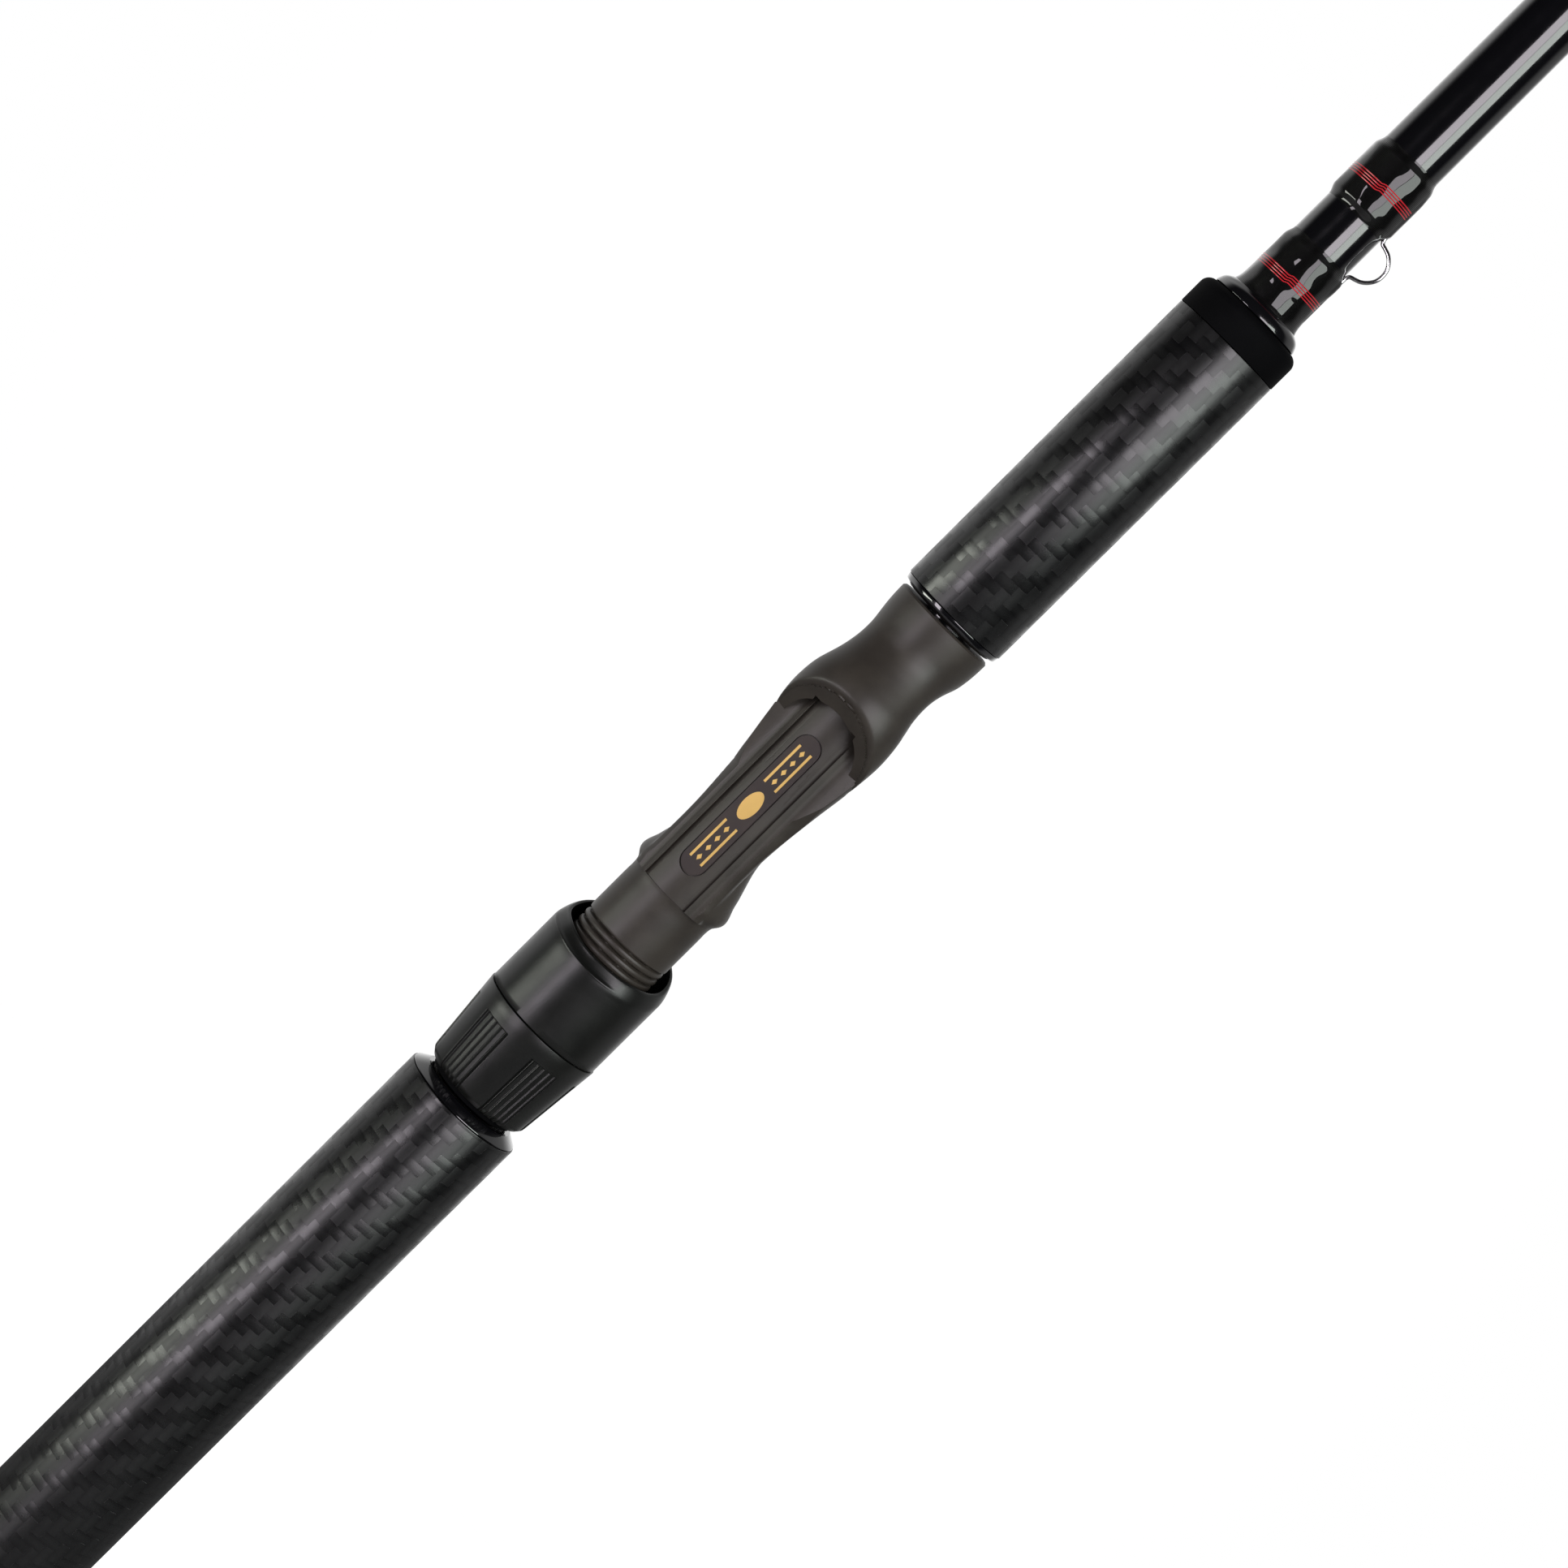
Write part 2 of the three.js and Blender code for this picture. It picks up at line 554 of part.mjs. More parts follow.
function addKeeper() {
  const names = ['keeper_wrap_lower', 'keeper_wrap_upper'];
  KEEPER_WRAPS.forEach(([z0, z1], i) => {
    const made = wrap(z0, z1, KEEPER_SIDE, KEEPER_WIRE_R, 2 * KEEPER_WIRE_R + 0.15);
    add(names[i], geometryOf(made), EPOXY);
  });
  add('hook_keeper', hookKeeper(), STEEL);
}

// ---- guides ----------------------------------------------------------------------------------
const ringInnerR = (size) => size / 2 - 0.7 - 0.085 * size;

function hoop(size, stand, z) {
  const inner = size / 2 + GAP;
  const z0 = z - HOOP_HEIGHT / 2;
  const made = sleeve(inner, inner + HOOP_WALL, z0, z0 + HOOP_HEIGHT, SMALL_ROUND);
  return made.translate(0, -stand, 0);
}

// The round space inside the hoop that the ring insert fills.
function hoopSpace(size, stand, z) {
  return solid(rod(size / 2 + GAP, z - 4, z + 4, SMALL_ROUND).translate(0, -stand, 0));
}

function ringInsert(size, stand, z) {
  const [inner, outer] = [ringInnerR(size), size / 2];
  const half = 0.75 + size * 0.02;
  const made = revolve([
    [outer, z - half * 0.6], [outer, z + half * 0.6], [(inner + outer) / 2, z + half],
    [inner, z + half * 0.3], [inner, z - half * 0.3], [(inner + outer) / 2, z - half],
    [outer, z - half * 0.6],
  ], SMALL_ROUND);
  return made.translate(0, -stand, 0);
}

// Where a foot lies: its ends up the rod, seen from the guide's ring, and its width.
function footSpan(guide, direction) {
  const near = guide.z + direction * (guide.feet === 2 ? 0.55 * guide.stand : 3.2);
  const far = near + direction * (8 + 0.35 * guide.size);
  return { near, far, halfWidth: 0.8 + guide.size * 0.025 };
}

function foot(guide, direction) {
  const { near, far, halfWidth } = footSpan(guide, direction);
  const [z0, z1] = [Math.min(near, far), Math.max(near, far)];
  const bed = blankRadius(z0) + GAP;
  return solid(box(-halfWidth, halfWidth, -bed - FOOT_THICKNESS, -bed, z0, z1));
}

// A leg from the hoop, at an angle round it from the blank side, to the near end of a foot.
function leg(guide, direction, angle) {
  const { near, halfWidth } = footSpan(guide, direction);
  const hoopR = guide.size / 2 + GAP + HOOP_WALL / 2;
  const bed = blankRadius(Math.min(near, guide.z)) + GAP + FOOT_THICKNESS / 2;
  const top = [hoopR * Math.sin(angle), -guide.stand + hoopR * Math.cos(angle), guide.z];
  const spread = Math.sign(angle) * halfWidth * 0.4;
  const bottom = [spread, -bed, near + direction * 0.5];
  return solid(bar(top, bottom, 1.1 + guide.size * 0.03, 0.9));
}

function guideFrame(guide) {
  const pieces = [solid(hoop(guide.size, guide.stand, guide.z))];
  pieces.push(foot(guide, 1), leg(guide, 1, LEG_ANGLE), leg(guide, 1, -LEG_ANGLE));
  if (guide.feet === 2) pieces.push(foot(guide, -1), leg(guide, -1, 0));
  return union(pieces).subtract(hoopSpace(guide.size, guide.stand, guide.z));
}

function guideWrap(guide, direction) {
  const { near, far, halfWidth } = footSpan(guide, direction);
  const start = near + direction * 2;
  const end = far + direction * 3;
  const span = [Math.min(start, end), Math.max(start, end)];
  return wrap(span[0], span[1], GUIDE_SIDE, halfWidth, FOOT_THICKNESS + GAP);
}

function addGuides() {
  GUIDES.forEach((guide, i) => {
    const name = `guide_${i + 1}`;
    add(`${name}_frame`, geometryOf(guideFrame(guide)), FRAME_GREY);
    add(`${name}_ring`, ringInsert(guide.size, guide.stand, guide.z), CERAMIC);
    add(`${name}_wrap_upper`, geometryOf(guideWrap(guide, 1)), EPOXY);
    if (guide.feet === 2) add(`${name}_wrap_lower`, geometryOf(guideWrap(guide, -1)), EPOXY);
  });
}

function addTipTop() {
  const [size, stand] = [TIP_RING_SIZE, TIP_RING_STAND];
  const [tubeBottom, tubeTop] = [TIP_TUBE_BOTTOM, TIP_TUBE_TOP];
  const z = ROD_LENGTH - HOOP_HEIGHT / 2;
  const bore = tipRadius(tubeBottom) + GAP;
  const tube = revolve([
    [0, tubeTop - 1], [bore, tubeTop - 1], [bore, tubeBottom], [bore + 0.5, tubeBottom],
    [bore + 0.5, tubeTop], [0, tubeTop],
  ], SMALL_ROUND);
  const hoopR = size / 2 + GAP + HOOP_WALL / 2;
  const legs = [1.1, -1.1].map((angle) => {
    const top = [hoopR * Math.sin(angle), -stand + hoopR * Math.cos(angle), z];
    return solid(bar(top, [0, -bore - 0.2, tubeTop - 7], 1, 0.8));
  });
  const brace = solid(bar([0, -stand + hoopR, z], [0, -bore + 0.6, tubeTop - 0.4], 1.4, 1));
  const core = solid(rod(bore, tubeBottom - 1, tubeTop - 1, SMALL_ROUND));
  const frame = union([solid(hoop(size, stand, z)), solid(tube), brace, ...legs])
    .subtract(core)
    .subtract(hoopSpace(size, stand, z));
  add('tip_top_frame', geometryOf(frame), FRAME_GREY);
  add('tip_top_ring', ringInsert(size, stand, z), CERAMIC);
  const [wrapBottom, wrapTop] = [tubeBottom - 8.2, tubeBottom - 0.2];
  const r = tipRadius(wrapBottom);
  add('tip_top_wrap', sleeve(r + GAP, r + 0.55, wrapBottom, wrapTop, SMALL_ROUND), EPOXY);
}

// ---- assembly --------------------------------------------------------------------------------
addRearGrip();
addSeat();
addNutAndHood();
addForegrip();
add('butt_blank', buttBlank(), EPOXY);
addKeeper();
add('tip_blank', tipBlank(), EPOXY);
const ferruleR = tipRadius(FERRULE_Z) + GAP;
add('ferrule_wrap', sleeve(ferruleR, ferruleR + 0.5, FERRULE_Z + 0.5, FERRULE_Z + 26), EPOXY);
addGuides();
addTipTop();

export default model;
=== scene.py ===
"""Spinning rod: the looks of a two-section rod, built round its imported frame.

Lengths are millimetres in the rod's own frame (+Z butt to tip, -Y reel side, +X keeper side) and
turn into metres in make_mesh(). Angles are radians round the axis, 0 on the reel side, towards +X.
"""
import math

import bmesh
import bpy
import numpy as np
from mathutils import Matrix, Vector


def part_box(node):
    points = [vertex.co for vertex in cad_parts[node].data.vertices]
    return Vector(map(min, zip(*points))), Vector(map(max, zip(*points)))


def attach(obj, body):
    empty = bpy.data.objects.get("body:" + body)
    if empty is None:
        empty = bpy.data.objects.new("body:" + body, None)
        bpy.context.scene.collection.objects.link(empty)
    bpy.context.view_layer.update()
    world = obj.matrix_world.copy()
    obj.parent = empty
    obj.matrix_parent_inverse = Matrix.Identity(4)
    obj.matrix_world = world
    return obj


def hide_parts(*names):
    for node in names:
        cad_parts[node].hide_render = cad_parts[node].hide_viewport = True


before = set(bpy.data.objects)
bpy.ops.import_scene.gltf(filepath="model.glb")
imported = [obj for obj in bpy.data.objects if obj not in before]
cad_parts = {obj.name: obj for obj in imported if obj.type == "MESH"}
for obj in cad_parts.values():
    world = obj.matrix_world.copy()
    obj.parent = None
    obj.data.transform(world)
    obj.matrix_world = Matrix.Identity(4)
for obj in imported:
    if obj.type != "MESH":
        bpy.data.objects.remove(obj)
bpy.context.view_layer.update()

MM = 0.001


def low(node):
    """Lowest height of a CAD node, in mm."""
    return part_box(node)[0].z / MM


def high(node):
    """Greatest height of a CAD node, in mm."""
    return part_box(node)[1].z / MM


def radius(node):
    """Largest reach of a CAD node from the axis across X, in mm."""
    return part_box(node)[1].x / MM


# ---- camera ----
VIEW_HEIGHT = low("reel_seat_body") + 87.7  # where the middle of the view meets the axis
VIEW_AZIMUTH = math.radians(9.5)
VIEW_RISE = math.radians(6.5)
VIEW_DISTANCE = 794
ROD_SLOPE = math.radians(44.81)  # the rod's angle across the picture
LENS = 93.2


def camera_axes():
    """The camera's right, up and backward directions, with the rod climbing at ROD_SLOPE."""
    level = math.cos(VIEW_RISE)
    back = Vector((math.sin(VIEW_AZIMUTH) * level, -math.cos(VIEW_AZIMUTH) * level,
                   math.sin(VIEW_RISE)))
    along = Vector((0, 0, 1)) - back * back.z
    along.normalize()
    across = back.cross(along)
    right = along * math.cos(ROD_SLOPE) - across * math.sin(ROD_SLOPE)
    up = along * math.sin(ROD_SLOPE) + across * math.cos(ROD_SLOPE)
    return right, up, back


RIGHT, UP, BACK = camera_axes()
TARGET = Vector((0, 0, VIEW_HEIGHT * MM))


def add_camera():
    data = bpy.data.cameras.new("view")
    data.lens = LENS
    data.clip_start = 0.05
    data.clip_end = 50
    camera = bpy.data.objects.new("view", data)
    turn = Matrix((RIGHT, UP, BACK)).transposed().to_4x4()
    camera.matrix_world = Matrix.Translation(TARGET + BACK * VIEW_DISTANCE * MM) @ turn
    bpy.context.scene.collection.objects.link(camera)
    bpy.context.scene.camera = camera


add_camera()


# ---- shader helpers ----
class Nodes:
    """Adds nodes to a tree; sockets are passed about as plain values or outputs."""

    def __init__(self, tree):
        self.tree = tree

    def plug(self, socket, value):
        if isinstance(value, bpy.types.NodeSocket):
            self.tree.links.new(value, socket)
        elif isinstance(value, tuple) and len(value) == 3 and len(socket.default_value) == 4:
            socket.default_value = (*value, 1)
        else:
            socket.default_value = value

    def node(self, kind, output=0, settings=(), **inputs):
        made = self.tree.nodes.new(kind)
        for key, value in dict(settings).items():
            setattr(made, key, value)
        for key, value in inputs.items():
            name = int(key[1:]) if key[0] == "i" and key[1:].isdigit() else key.replace("_", " ")
            self.plug(made.inputs[name], value)
        return made.outputs[output]

    def math(self, operation, a, b=0.0, c=0.0):
        return self.node("ShaderNodeMath", settings={"operation": operation}, i0=a, i1=b, i2=c)

    def place(self):
        return self.node("ShaderNodeTexCoord", "Object")

    def xyz(self):
        split = self.tree.nodes.new("ShaderNodeSeparateXYZ")
        self.tree.links.new(self.place(), split.inputs[0])
        return split.outputs

    def noise(self, scale, detail=2.0, roughness=0.5, vector=None):
        place = self.place() if vector is None else vector
        return self.node("ShaderNodeTexNoise", 0, Vector=place, Scale=scale, Detail=detail,
                         Roughness=roughness)

    def ramp(self, value, low, high, to_low=0.0, to_high=1.0):
        return self.node("ShaderNodeMapRange", 0, settings={"interpolation_type": "SMOOTHSTEP"},
                         Value=value, From_Min=low, From_Max=high, To_Min=to_low, To_Max=to_high)

    def blend(self, share, a, b):
        made = self.tree.nodes.new("ShaderNodeMix")
        made.data_type = "RGBA"
        self.plug(made.inputs[0], share)
        self.plug(made.inputs[6], a)
        self.plug(made.inputs[7], b)
        return made.outputs[2]

    def bump(self, height, distance, strength=1.0, normal=None):
        made = self.tree.nodes.new("ShaderNodeBump")
        made.inputs["Strength"].default_value = strength
        made.inputs["Distance"].default_value = distance * MM
        self.plug(made.inputs["Height"], height)
        if normal is not None:
            self.plug(made.inputs["Normal"], normal)
        return made.outputs[0]


class Shader(Nodes):
    """One material, whose Principled BSDF inputs are set by name."""

    def __init__(self, name, **principled):
        self.material = bpy.data.materials.new(name)
        self.material.use_nodes = True
        super().__init__(self.material.node_tree)
        self.surface = self.tree.nodes["Principled BSDF"]
        self.set(**principled)

    def set(self, **values):
        for key, value in values.items():
            label = key.replace("_", " ").title().replace("Ior", "IOR")
            self.plug(self.surface.inputs[label], value)


# ---- materials ----
TOW = 2.25  # width of one carbon tow
FIBRE_ACROSS = 6.0  # how finely fibre noise varies across a tow, and along it
FIBRE_ALONG = 0.35


def carbon_twill(name, around, dark=(0.002, 0.002, 0.0023), pale=(0.009, 0.0095, 0.0095)):
    """2x2 twill carbon facing: tows along and round the grip, `around` mm from the axis."""
    s = Shader(name, specular_ior_level=0.6)
    x, y, z = s.xyz()
    turn = s.math("ARCTAN2", x, s.math("MULTIPLY", y, -1.0))
    count = max(4, 4 * round(2 * math.pi * around / TOW / 4))
    u = s.math("MULTIPLY", turn, count / (2 * math.pi))
    v = s.math("MULTIPLY", z, 1 / (TOW * MM))
    cell = s.math("SUBTRACT", s.math("FLOOR", u), s.math("FLOOR", v))
    place = s.math("FLOORED_MODULO", cell, 4.0)
    warp = s.math("LESS_THAN", place, 1.5)
    u_in = s.math("FRACT", u)
    v_in = s.math("FRACT", v)
    across = s.node("ShaderNodeMix", 0, i0=warp, i2=v_in, i3=u_in)
    crown = s.math("SINE", s.math("MULTIPLY", across, math.pi))
    along = s.node("ShaderNodeMix", 0, i0=warp, i2=u, i3=v)
    wave = s.math("SINE", s.math("MULTIPLY", along, math.pi / 2))
    fibres_u = s.node("ShaderNodeCombineXYZ", 0, X=s.math("MULTIPLY", u, FIBRE_ACROSS),
                      Y=s.math("MULTIPLY", v, FIBRE_ALONG), Z=0.0)
    fibres_v = s.node("ShaderNodeCombineXYZ", 0, X=s.math("MULTIPLY", v, FIBRE_ACROSS),
                      Y=s.math("MULTIPLY", u, FIBRE_ALONG), Z=3.0)
    fibre_place = s.node("ShaderNodeMix", 1, settings={"data_type": "VECTOR"}, i0=warp,
                         i4=fibres_v, i5=fibres_u)
    fibres = s.noise(2.2, 3.0, 0.6, fibre_place)
    patches = s.noise(160.0, 3.0, 0.6)
    tone = s.math("MULTIPLY", crown, s.math("MULTIPLY_ADD", fibres, 0.8, 0.25))
    tone = s.math("MULTIPLY", tone, s.ramp(patches, 0.3, 0.7, 0.45, 1.25))
    s.set(base_color=s.blend(tone, dark, pale))
    rough = s.math("MULTIPLY_ADD", warp, 0.1, 0.21)
    s.set(roughness=s.math("MULTIPLY_ADD", patches, 0.12, rough))
    relief = s.math("MULTIPLY_ADD", wave, 0.35, s.math("MULTIPLY_ADD", fibres, 0.3, crown))
    s.set(normal=s.bump(relief, 0.035, 0.6))
    return s.material


def moulded(name, colour, warm, rough=0.5, grain=0.012, specular=0.5):
    """Matte moulded plastic: fine spark texture, faint mottling, a little wear in the gloss."""
    s = Shader(name, specular_ior_level=specular)
    fine = s.noise(5200.0, 2.0, 0.6)
    broad = s.noise(130.0, 3.0, 0.55)
    s.set(base_color=s.blend(s.ramp(broad, 0.35, 0.65), colour, warm))
    s.set(roughness=s.math("MULTIPLY_ADD", broad, 0.16, rough - 0.08))
    s.set(normal=s.bump(fine, grain, 0.6, s.bump(s.noise(900.0, 2.0), 0.02, 0.25)))
    return s.material


def gloss(name, colour, rough=0.08, ripple=0.01):
    """Polished or lacquered black: a clear coat over a slightly uneven base."""
    s = Shader(name, coat_weight=1.0, coat_roughness=0.03, specular_ior_level=0.5)
    haze = s.noise(420.0, 3.0)
    s.set(base_color=colour, roughness=s.math("MULTIPLY_ADD", haze, 0.12, rough))
    wavy = s.bump(s.noise(60.0, 2.0), ripple, 0.5)
    s.set(normal=wavy, coat_normal=wavy)
    return s.material


def wrapped_thread(name, colour, pitch=0.22):
    """Winding thread, seen through clear epoxy: threads round the axis under a smooth coat, the
    grooves between them painted darker as shade.
    """
    s = Shader(name, coat_weight=1.0, coat_roughness=0.02, specular_ior_level=0.1)
    z = s.xyz()[2]
    threads = s.math("SINE", s.math("MULTIPLY", z, 2 * math.pi / (pitch * MM)))
    # painted shade: the colour darkens towards deep in the grooves between threads, where shade
    # falls
    tone = s.math("MULTIPLY_ADD", threads, 0.35, 0.55)
    deep = tuple(c * 0.25 for c in colour)
    s.set(base_color=s.blend(tone, deep, colour), roughness=0.35)
    s.set(normal=s.bump(threads, 0.03, 0.7))
    s.set(coat_normal=s.bump(s.noise(150.0, 1.0), 1.2, 0.8))
    return s.material


def metal(name, colour, rough=0.2, brushed=0.15):
    s = Shader(name, metallic=1.0)
    streaks = s.node("ShaderNodeMapping", 0, Vector=s.place(), Scale=(4000.0, 4000.0, 400.0))
    scratches = s.noise(1.0, 3.0, 0.6, streaks)
    broad = s.noise(240.0, 2.0)
    s.set(base_color=s.blend(broad, colour, tuple(c * 0.8 for c in colour)))
    s.set(roughness=s.math("MULTIPLY_ADD", scratches, brushed, rough))
    s.set(normal=s.bump(scratches, 0.002, 0.25))
    return s.material


CARBON_REAR = carbon_twill("carbon_rear", radius("rear_grip_skin"))
CARBON_FORE = carbon_twill("carbon_fore", radius("foregrip_skin"))
SEAT = moulded("seat_plastic", (0.033, 0.028, 0.023), (0.042, 0.036, 0.029), 0.44)
HOOD = moulded("hood_plastic", (0.0055, 0.006, 0.0055), (0.007, 0.0075, 0.0065), 0.34)
RUBBER = moulded("cap_black", (0.0022, 0.0023, 0.0027), (0.0032, 0.0033, 0.0038), 0.7, 0.02, 0.04)
BLACK = gloss("gloss_black", (0.004, 0.004, 0.005))
LACQUER = gloss("blank_lacquer", (0.003, 0.003, 0.004), 0.08, 0.006)
THREAD = wrapped_thread("wrap_black", (0.002, 0.002, 0.002))
TRIM = wrapped_thread("trim_red", (0.85, 0.03, 0.045))
STEEL = metal("steel", (0.72, 0.72, 0.73), 0.12, 0.1)
FRAME = metal("guide_frame", (0.22, 0.225, 0.235), 0.16, 0.12)
GOLD = metal("badge_gold", (0.9, 0.62, 0.2), 0.25, 0.1)
CERAMIC = gloss("guide_ceramic", (0.02, 0.023, 0.028), 0.05, 0.002)
BADGE = moulded("badge_lacquer", (0.028, 0.02, 0.018), (0.036, 0.026, 0.022), 0.4, 0.004, 0.4)


# ---- mesh helpers ----
def make_mesh(name, points, faces, material):
    """An object of one material, from points in mm."""
    mesh = bpy.data.meshes.new(name)
    mesh.from_pydata((np.asarray(points, float) * MM).tolist(), [], faces)
    mesh.materials.append(material)
    made = bpy.data.objects.new(name, mesh)
    bpy.context.scene.collection.objects.link(made)
    return made


def shade(piece, sharp=35):
    """Smooth shading, with edges over `sharp` degrees kept hard."""
    piece.data.shade_smooth()
    piece.data.set_sharp_from_angle(angle=math.radians(sharp))
    return piece


def install(piece, body, slot, *nodes):
    """Puts a finished piece in the frame: under its body, with the CAD nodes it stands for hidden.
    slot is not used.
    """
    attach(piece, body)
    if nodes:
        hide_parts(*nodes)


def grid_faces(rows, columns, wrap_rows=False):
    """Quads of a grid whose columns run round; its rows too, if asked."""
    faces = []
    for i in range(rows if wrap_rows else rows - 1):
        below, above = i * columns, ((i + 1) % rows) * columns
        for j in range(columns):
            k = (j + 1) % columns
            faces.append((below + j, below + k, above + k, above + j))
    return faces


def face_outward(piece):
    mesh = bmesh.new()
    mesh.from_mesh(piece.data)
    bmesh.ops.recalc_face_normals(mesh, faces=mesh.faces)
    mesh.to_mesh(piece.data)
    mesh.free()
    return piece


def tube_mesh(name, rows, material, closed):
    """A solid from rings of points. closed joins the last ring to the first; otherwise both are
    capped."""
    rows = np.asarray(rows, float)
    count, columns = rows.shape[:2]
    faces = grid_faces(count, columns, closed)
    if not closed:
        faces.append(tuple(reversed(range(columns))))
        faces.append(tuple(range((count - 1) * columns, count * columns)))
    return face_outward(make_mesh(name, rows.reshape(-1, 3), faces, material))


def angles(columns):
    return np.arange(columns) * (2 * math.pi / columns)


def ring_points(r, z, columns):
    turn = angles(columns)
    r = np.broadcast_to(r, turn.shape)
    return np.stack([r * np.sin(turn), -r * np.cos(turn), np.broadcast_to(z, turn.shape)], 1)


def filleted(corners, step=0.12):
    """A closed profile of (radius, z, fillet) corners as (radius, z) points with round corners."""
    points = []
    count = len(corners)
    for i, (r, z, fillet) in enumerate(corners):
        here = np.array([r, z], float)
        before = np.array(corners[i - 1][:2], float) - here
        after = np.array(corners[(i + 1) % count][:2], float) - here
        if not fillet:
            points.append(here)
            continue
        a, b = before / np.linalg.norm(before), after / np.linalg.norm(after)
        half = math.acos(float(np.clip(a @ b, -1, 1))) / 2
        reach = fillet / math.tan(half)
        middle = here + (a + b) / np.linalg.norm(a + b) * fillet / math.sin(half)
        start, end = here + a * reach - middle, here + b * reach - middle
        sweep = math.pi - 2 * half
        steps = max(3, int(sweep * fillet / step) + 1)
        for t in np.linspace(0, 1, steps):
            spread = math.sin((1 - t) * sweep) * start + math.sin(t * sweep) * end
            points.append(middle + spread / math.sin(sweep))
    return points


def lathe(name, corners, material, columns=128):
    """A turned piece from a closed profile that runs up the outside and down the inside."""
    rows = [ring_points(r, z, columns) for r, z in filleted(corners)]
    return tube_mesh(name, rows, material, True)


def sleeve(name, inner, outer, z0, z1, material, fillet=0.3, columns=128):
    corners = [(outer, z0, fillet), (outer, z1, fillet), (inner, z1, 0), (inner, z0, 0)]
    return lathe(name, corners, material, columns)


def cylinder_cutter(name, r, z0, z1, columns=160):
    rows = [ring_points(r, z0, columns), ring_points(r, z1, columns)]
    return tube_mesh(name, rows, SEAT, False)


def prism(name, outline, extrude):
    """A solid from a closed outline of points, run along a vector."""
    outline = np.asarray(outline, float)
    rows = [outline, outline + np.asarray(extrude, float)]
    return tube_mesh(name, rows, SEAT, False)


def apply_modifiers(piece):
    graph = bpy.context.evaluated_depsgraph_get()
    mesh = bpy.data.meshes.new_from_object(piece.evaluated_get(graph))
    piece.modifiers.clear()
    piece.data = mesh


def subtract(piece, tool):
    """Cuts a tool solid out of a piece and removes the tool."""
    cut = piece.modifiers.new("cut", "BOOLEAN")
    cut.object = tool
    cut.operation = "DIFFERENCE"
    cut.solver = "MANIFOLD"
    apply_modifiers(piece)
    bpy.data.objects.remove(tool)
    return piece


def smooth_curve(table):
    """A function of height through (z, value) points, with continuous slope."""
    z, v = (np.array(column, float) for column in zip(*table))
    slope = np.gradient(v, z)

    def at(height):
        height = np.clip(height, z[0], z[-1])
        i = np.clip(np.searchsorted(z, height, side="right") - 1, 0, len(z) - 2)
        span = z[i + 1] - z[i]
        t = (height - z[i]) / span
        return (v[i] * (2 * t**3 - 3 * t**2 + 1) + span * slope[i] * (t**3 - 2 * t**2 + t)
                + v[i + 1] * (3 * t**2 - 2 * t**3) + span * slope[i + 1] * (t**3 - t**2))

    return at


def smooth_step(value, start, end):
    t = np.clip((value - start) / (end - start), 0, 1)
    return t * t * (3 - 2 * t)


# ---- stage and light ----
FLOOR_HALF = 0.8  # metres
LIGHT_DISTANCE = 1.2  # metres from the rod


def add_floor():
    """A small white floor that glows only for the camera, so the backdrop shows in the rod."""
    size = FLOOR_HALF / MM
    corners = [(-size, -size, 0), (size, -size, 0), (size, size, 0), (-size, size, 0)]
    s = Shader("floor_white", base_color=(0.3, 0.3, 0.3), roughness=0.9)
    s.set(emission_color=(1.0, 1.0, 1.0))
    s.set(emission_strength=s.node("ShaderNodeLightPath", "Is Camera Ray"))
    floor = make_mesh("floor", corners, [(0, 1, 2, 3)], s.material)
    floor.location.z = -0.0005


def add_world():
    """A white backdrop behind the rod, grey at its sides and nearly dark in front of it."""
    world = bpy.data.worlds.new("studio")
    bpy.context.scene.world = world
    world.use_nodes = True
    s = Nodes(world.node_tree)
    background = s.tree.nodes["Background"]
    place = s.node("ShaderNodeTexCoord", "Generated")

    def towards(direction, low, high, strength):
        share = s.node("ShaderNodeVectorMath", "Value", {"operation": "DOT_PRODUCT"},
                       i0=place, i1=tuple(direction))
        return s.ramp(share, low, high, 0.0, strength)

    sides = towards(-BACK, -0.05, 0.3, 0.28)
    backdrop = towards(-BACK, 0.7, 1.0, 0.72)
    upper_left = towards(UP - RIGHT, 0.3, 1.0, 0.5)
    left = s.math("MULTIPLY", upper_left, towards(-BACK, 0.1, 0.45, 1.0))
    total = s.math("ADD", s.math("ADD", sides, backdrop), s.math("ADD", left, 0.012))
    seen = s.node("ShaderNodeLightPath", "Is Camera Ray")
    s.plug(background.inputs["Strength"], s.math("MAXIMUM", total, seen))
    background.inputs["Color"].default_value = (1, 1, 1, 1)


def softbox(name, azimuth, height, size, radiance, colour):
    """A soft light that faces the rod.

    azimuth is in degrees from the camera's, towards +X; height and size (across, along the rod)
    are in metres, the height from the middle of the view.
    """
    turn = VIEW_AZIMUTH + math.radians(azimuth)
    outward = Vector((math.sin(turn), -math.cos(turn), 0))
    along = Vector((0, 0, 1))
    data = bpy.data.lights.new(name, "AREA")
    data.shape = "RECTANGLE"
    data.size, data.size_y = size
    data.energy = radiance * math.pi * size[0] * size[1]
    data.color = colour
    light = bpy.data.objects.new(name, data)
    facing = Matrix((along.cross(outward), along, outward)).transposed().to_4x4()
    place = TARGET + outward * LIGHT_DISTANCE + along * height
    light.matrix_world = Matrix.Translation(place) @ facing
    light.visible_camera = False
    bpy.context.scene.collection.objects.link(light)


def add_light():
    softbox("left_box", -64, -0.48, (0.6, 0.44), 8.4, (0.96, 1.0, 0.9))
    softbox("top_strip", -34, -0.25, (0.3, 0.8), 6.6, (1.0, 0.92, 1.0))
    softbox("right_box", 22, 0.5, (0.52, 0.94), 5.2, (1.0, 0.94, 1.0))
    softbox("far_right_box", 47, 0.51, (0.5, 0.94), 5.2, (0.93, 1.0, 0.95))
    bpy.context.scene.view_settings.view_transform = "Standard"


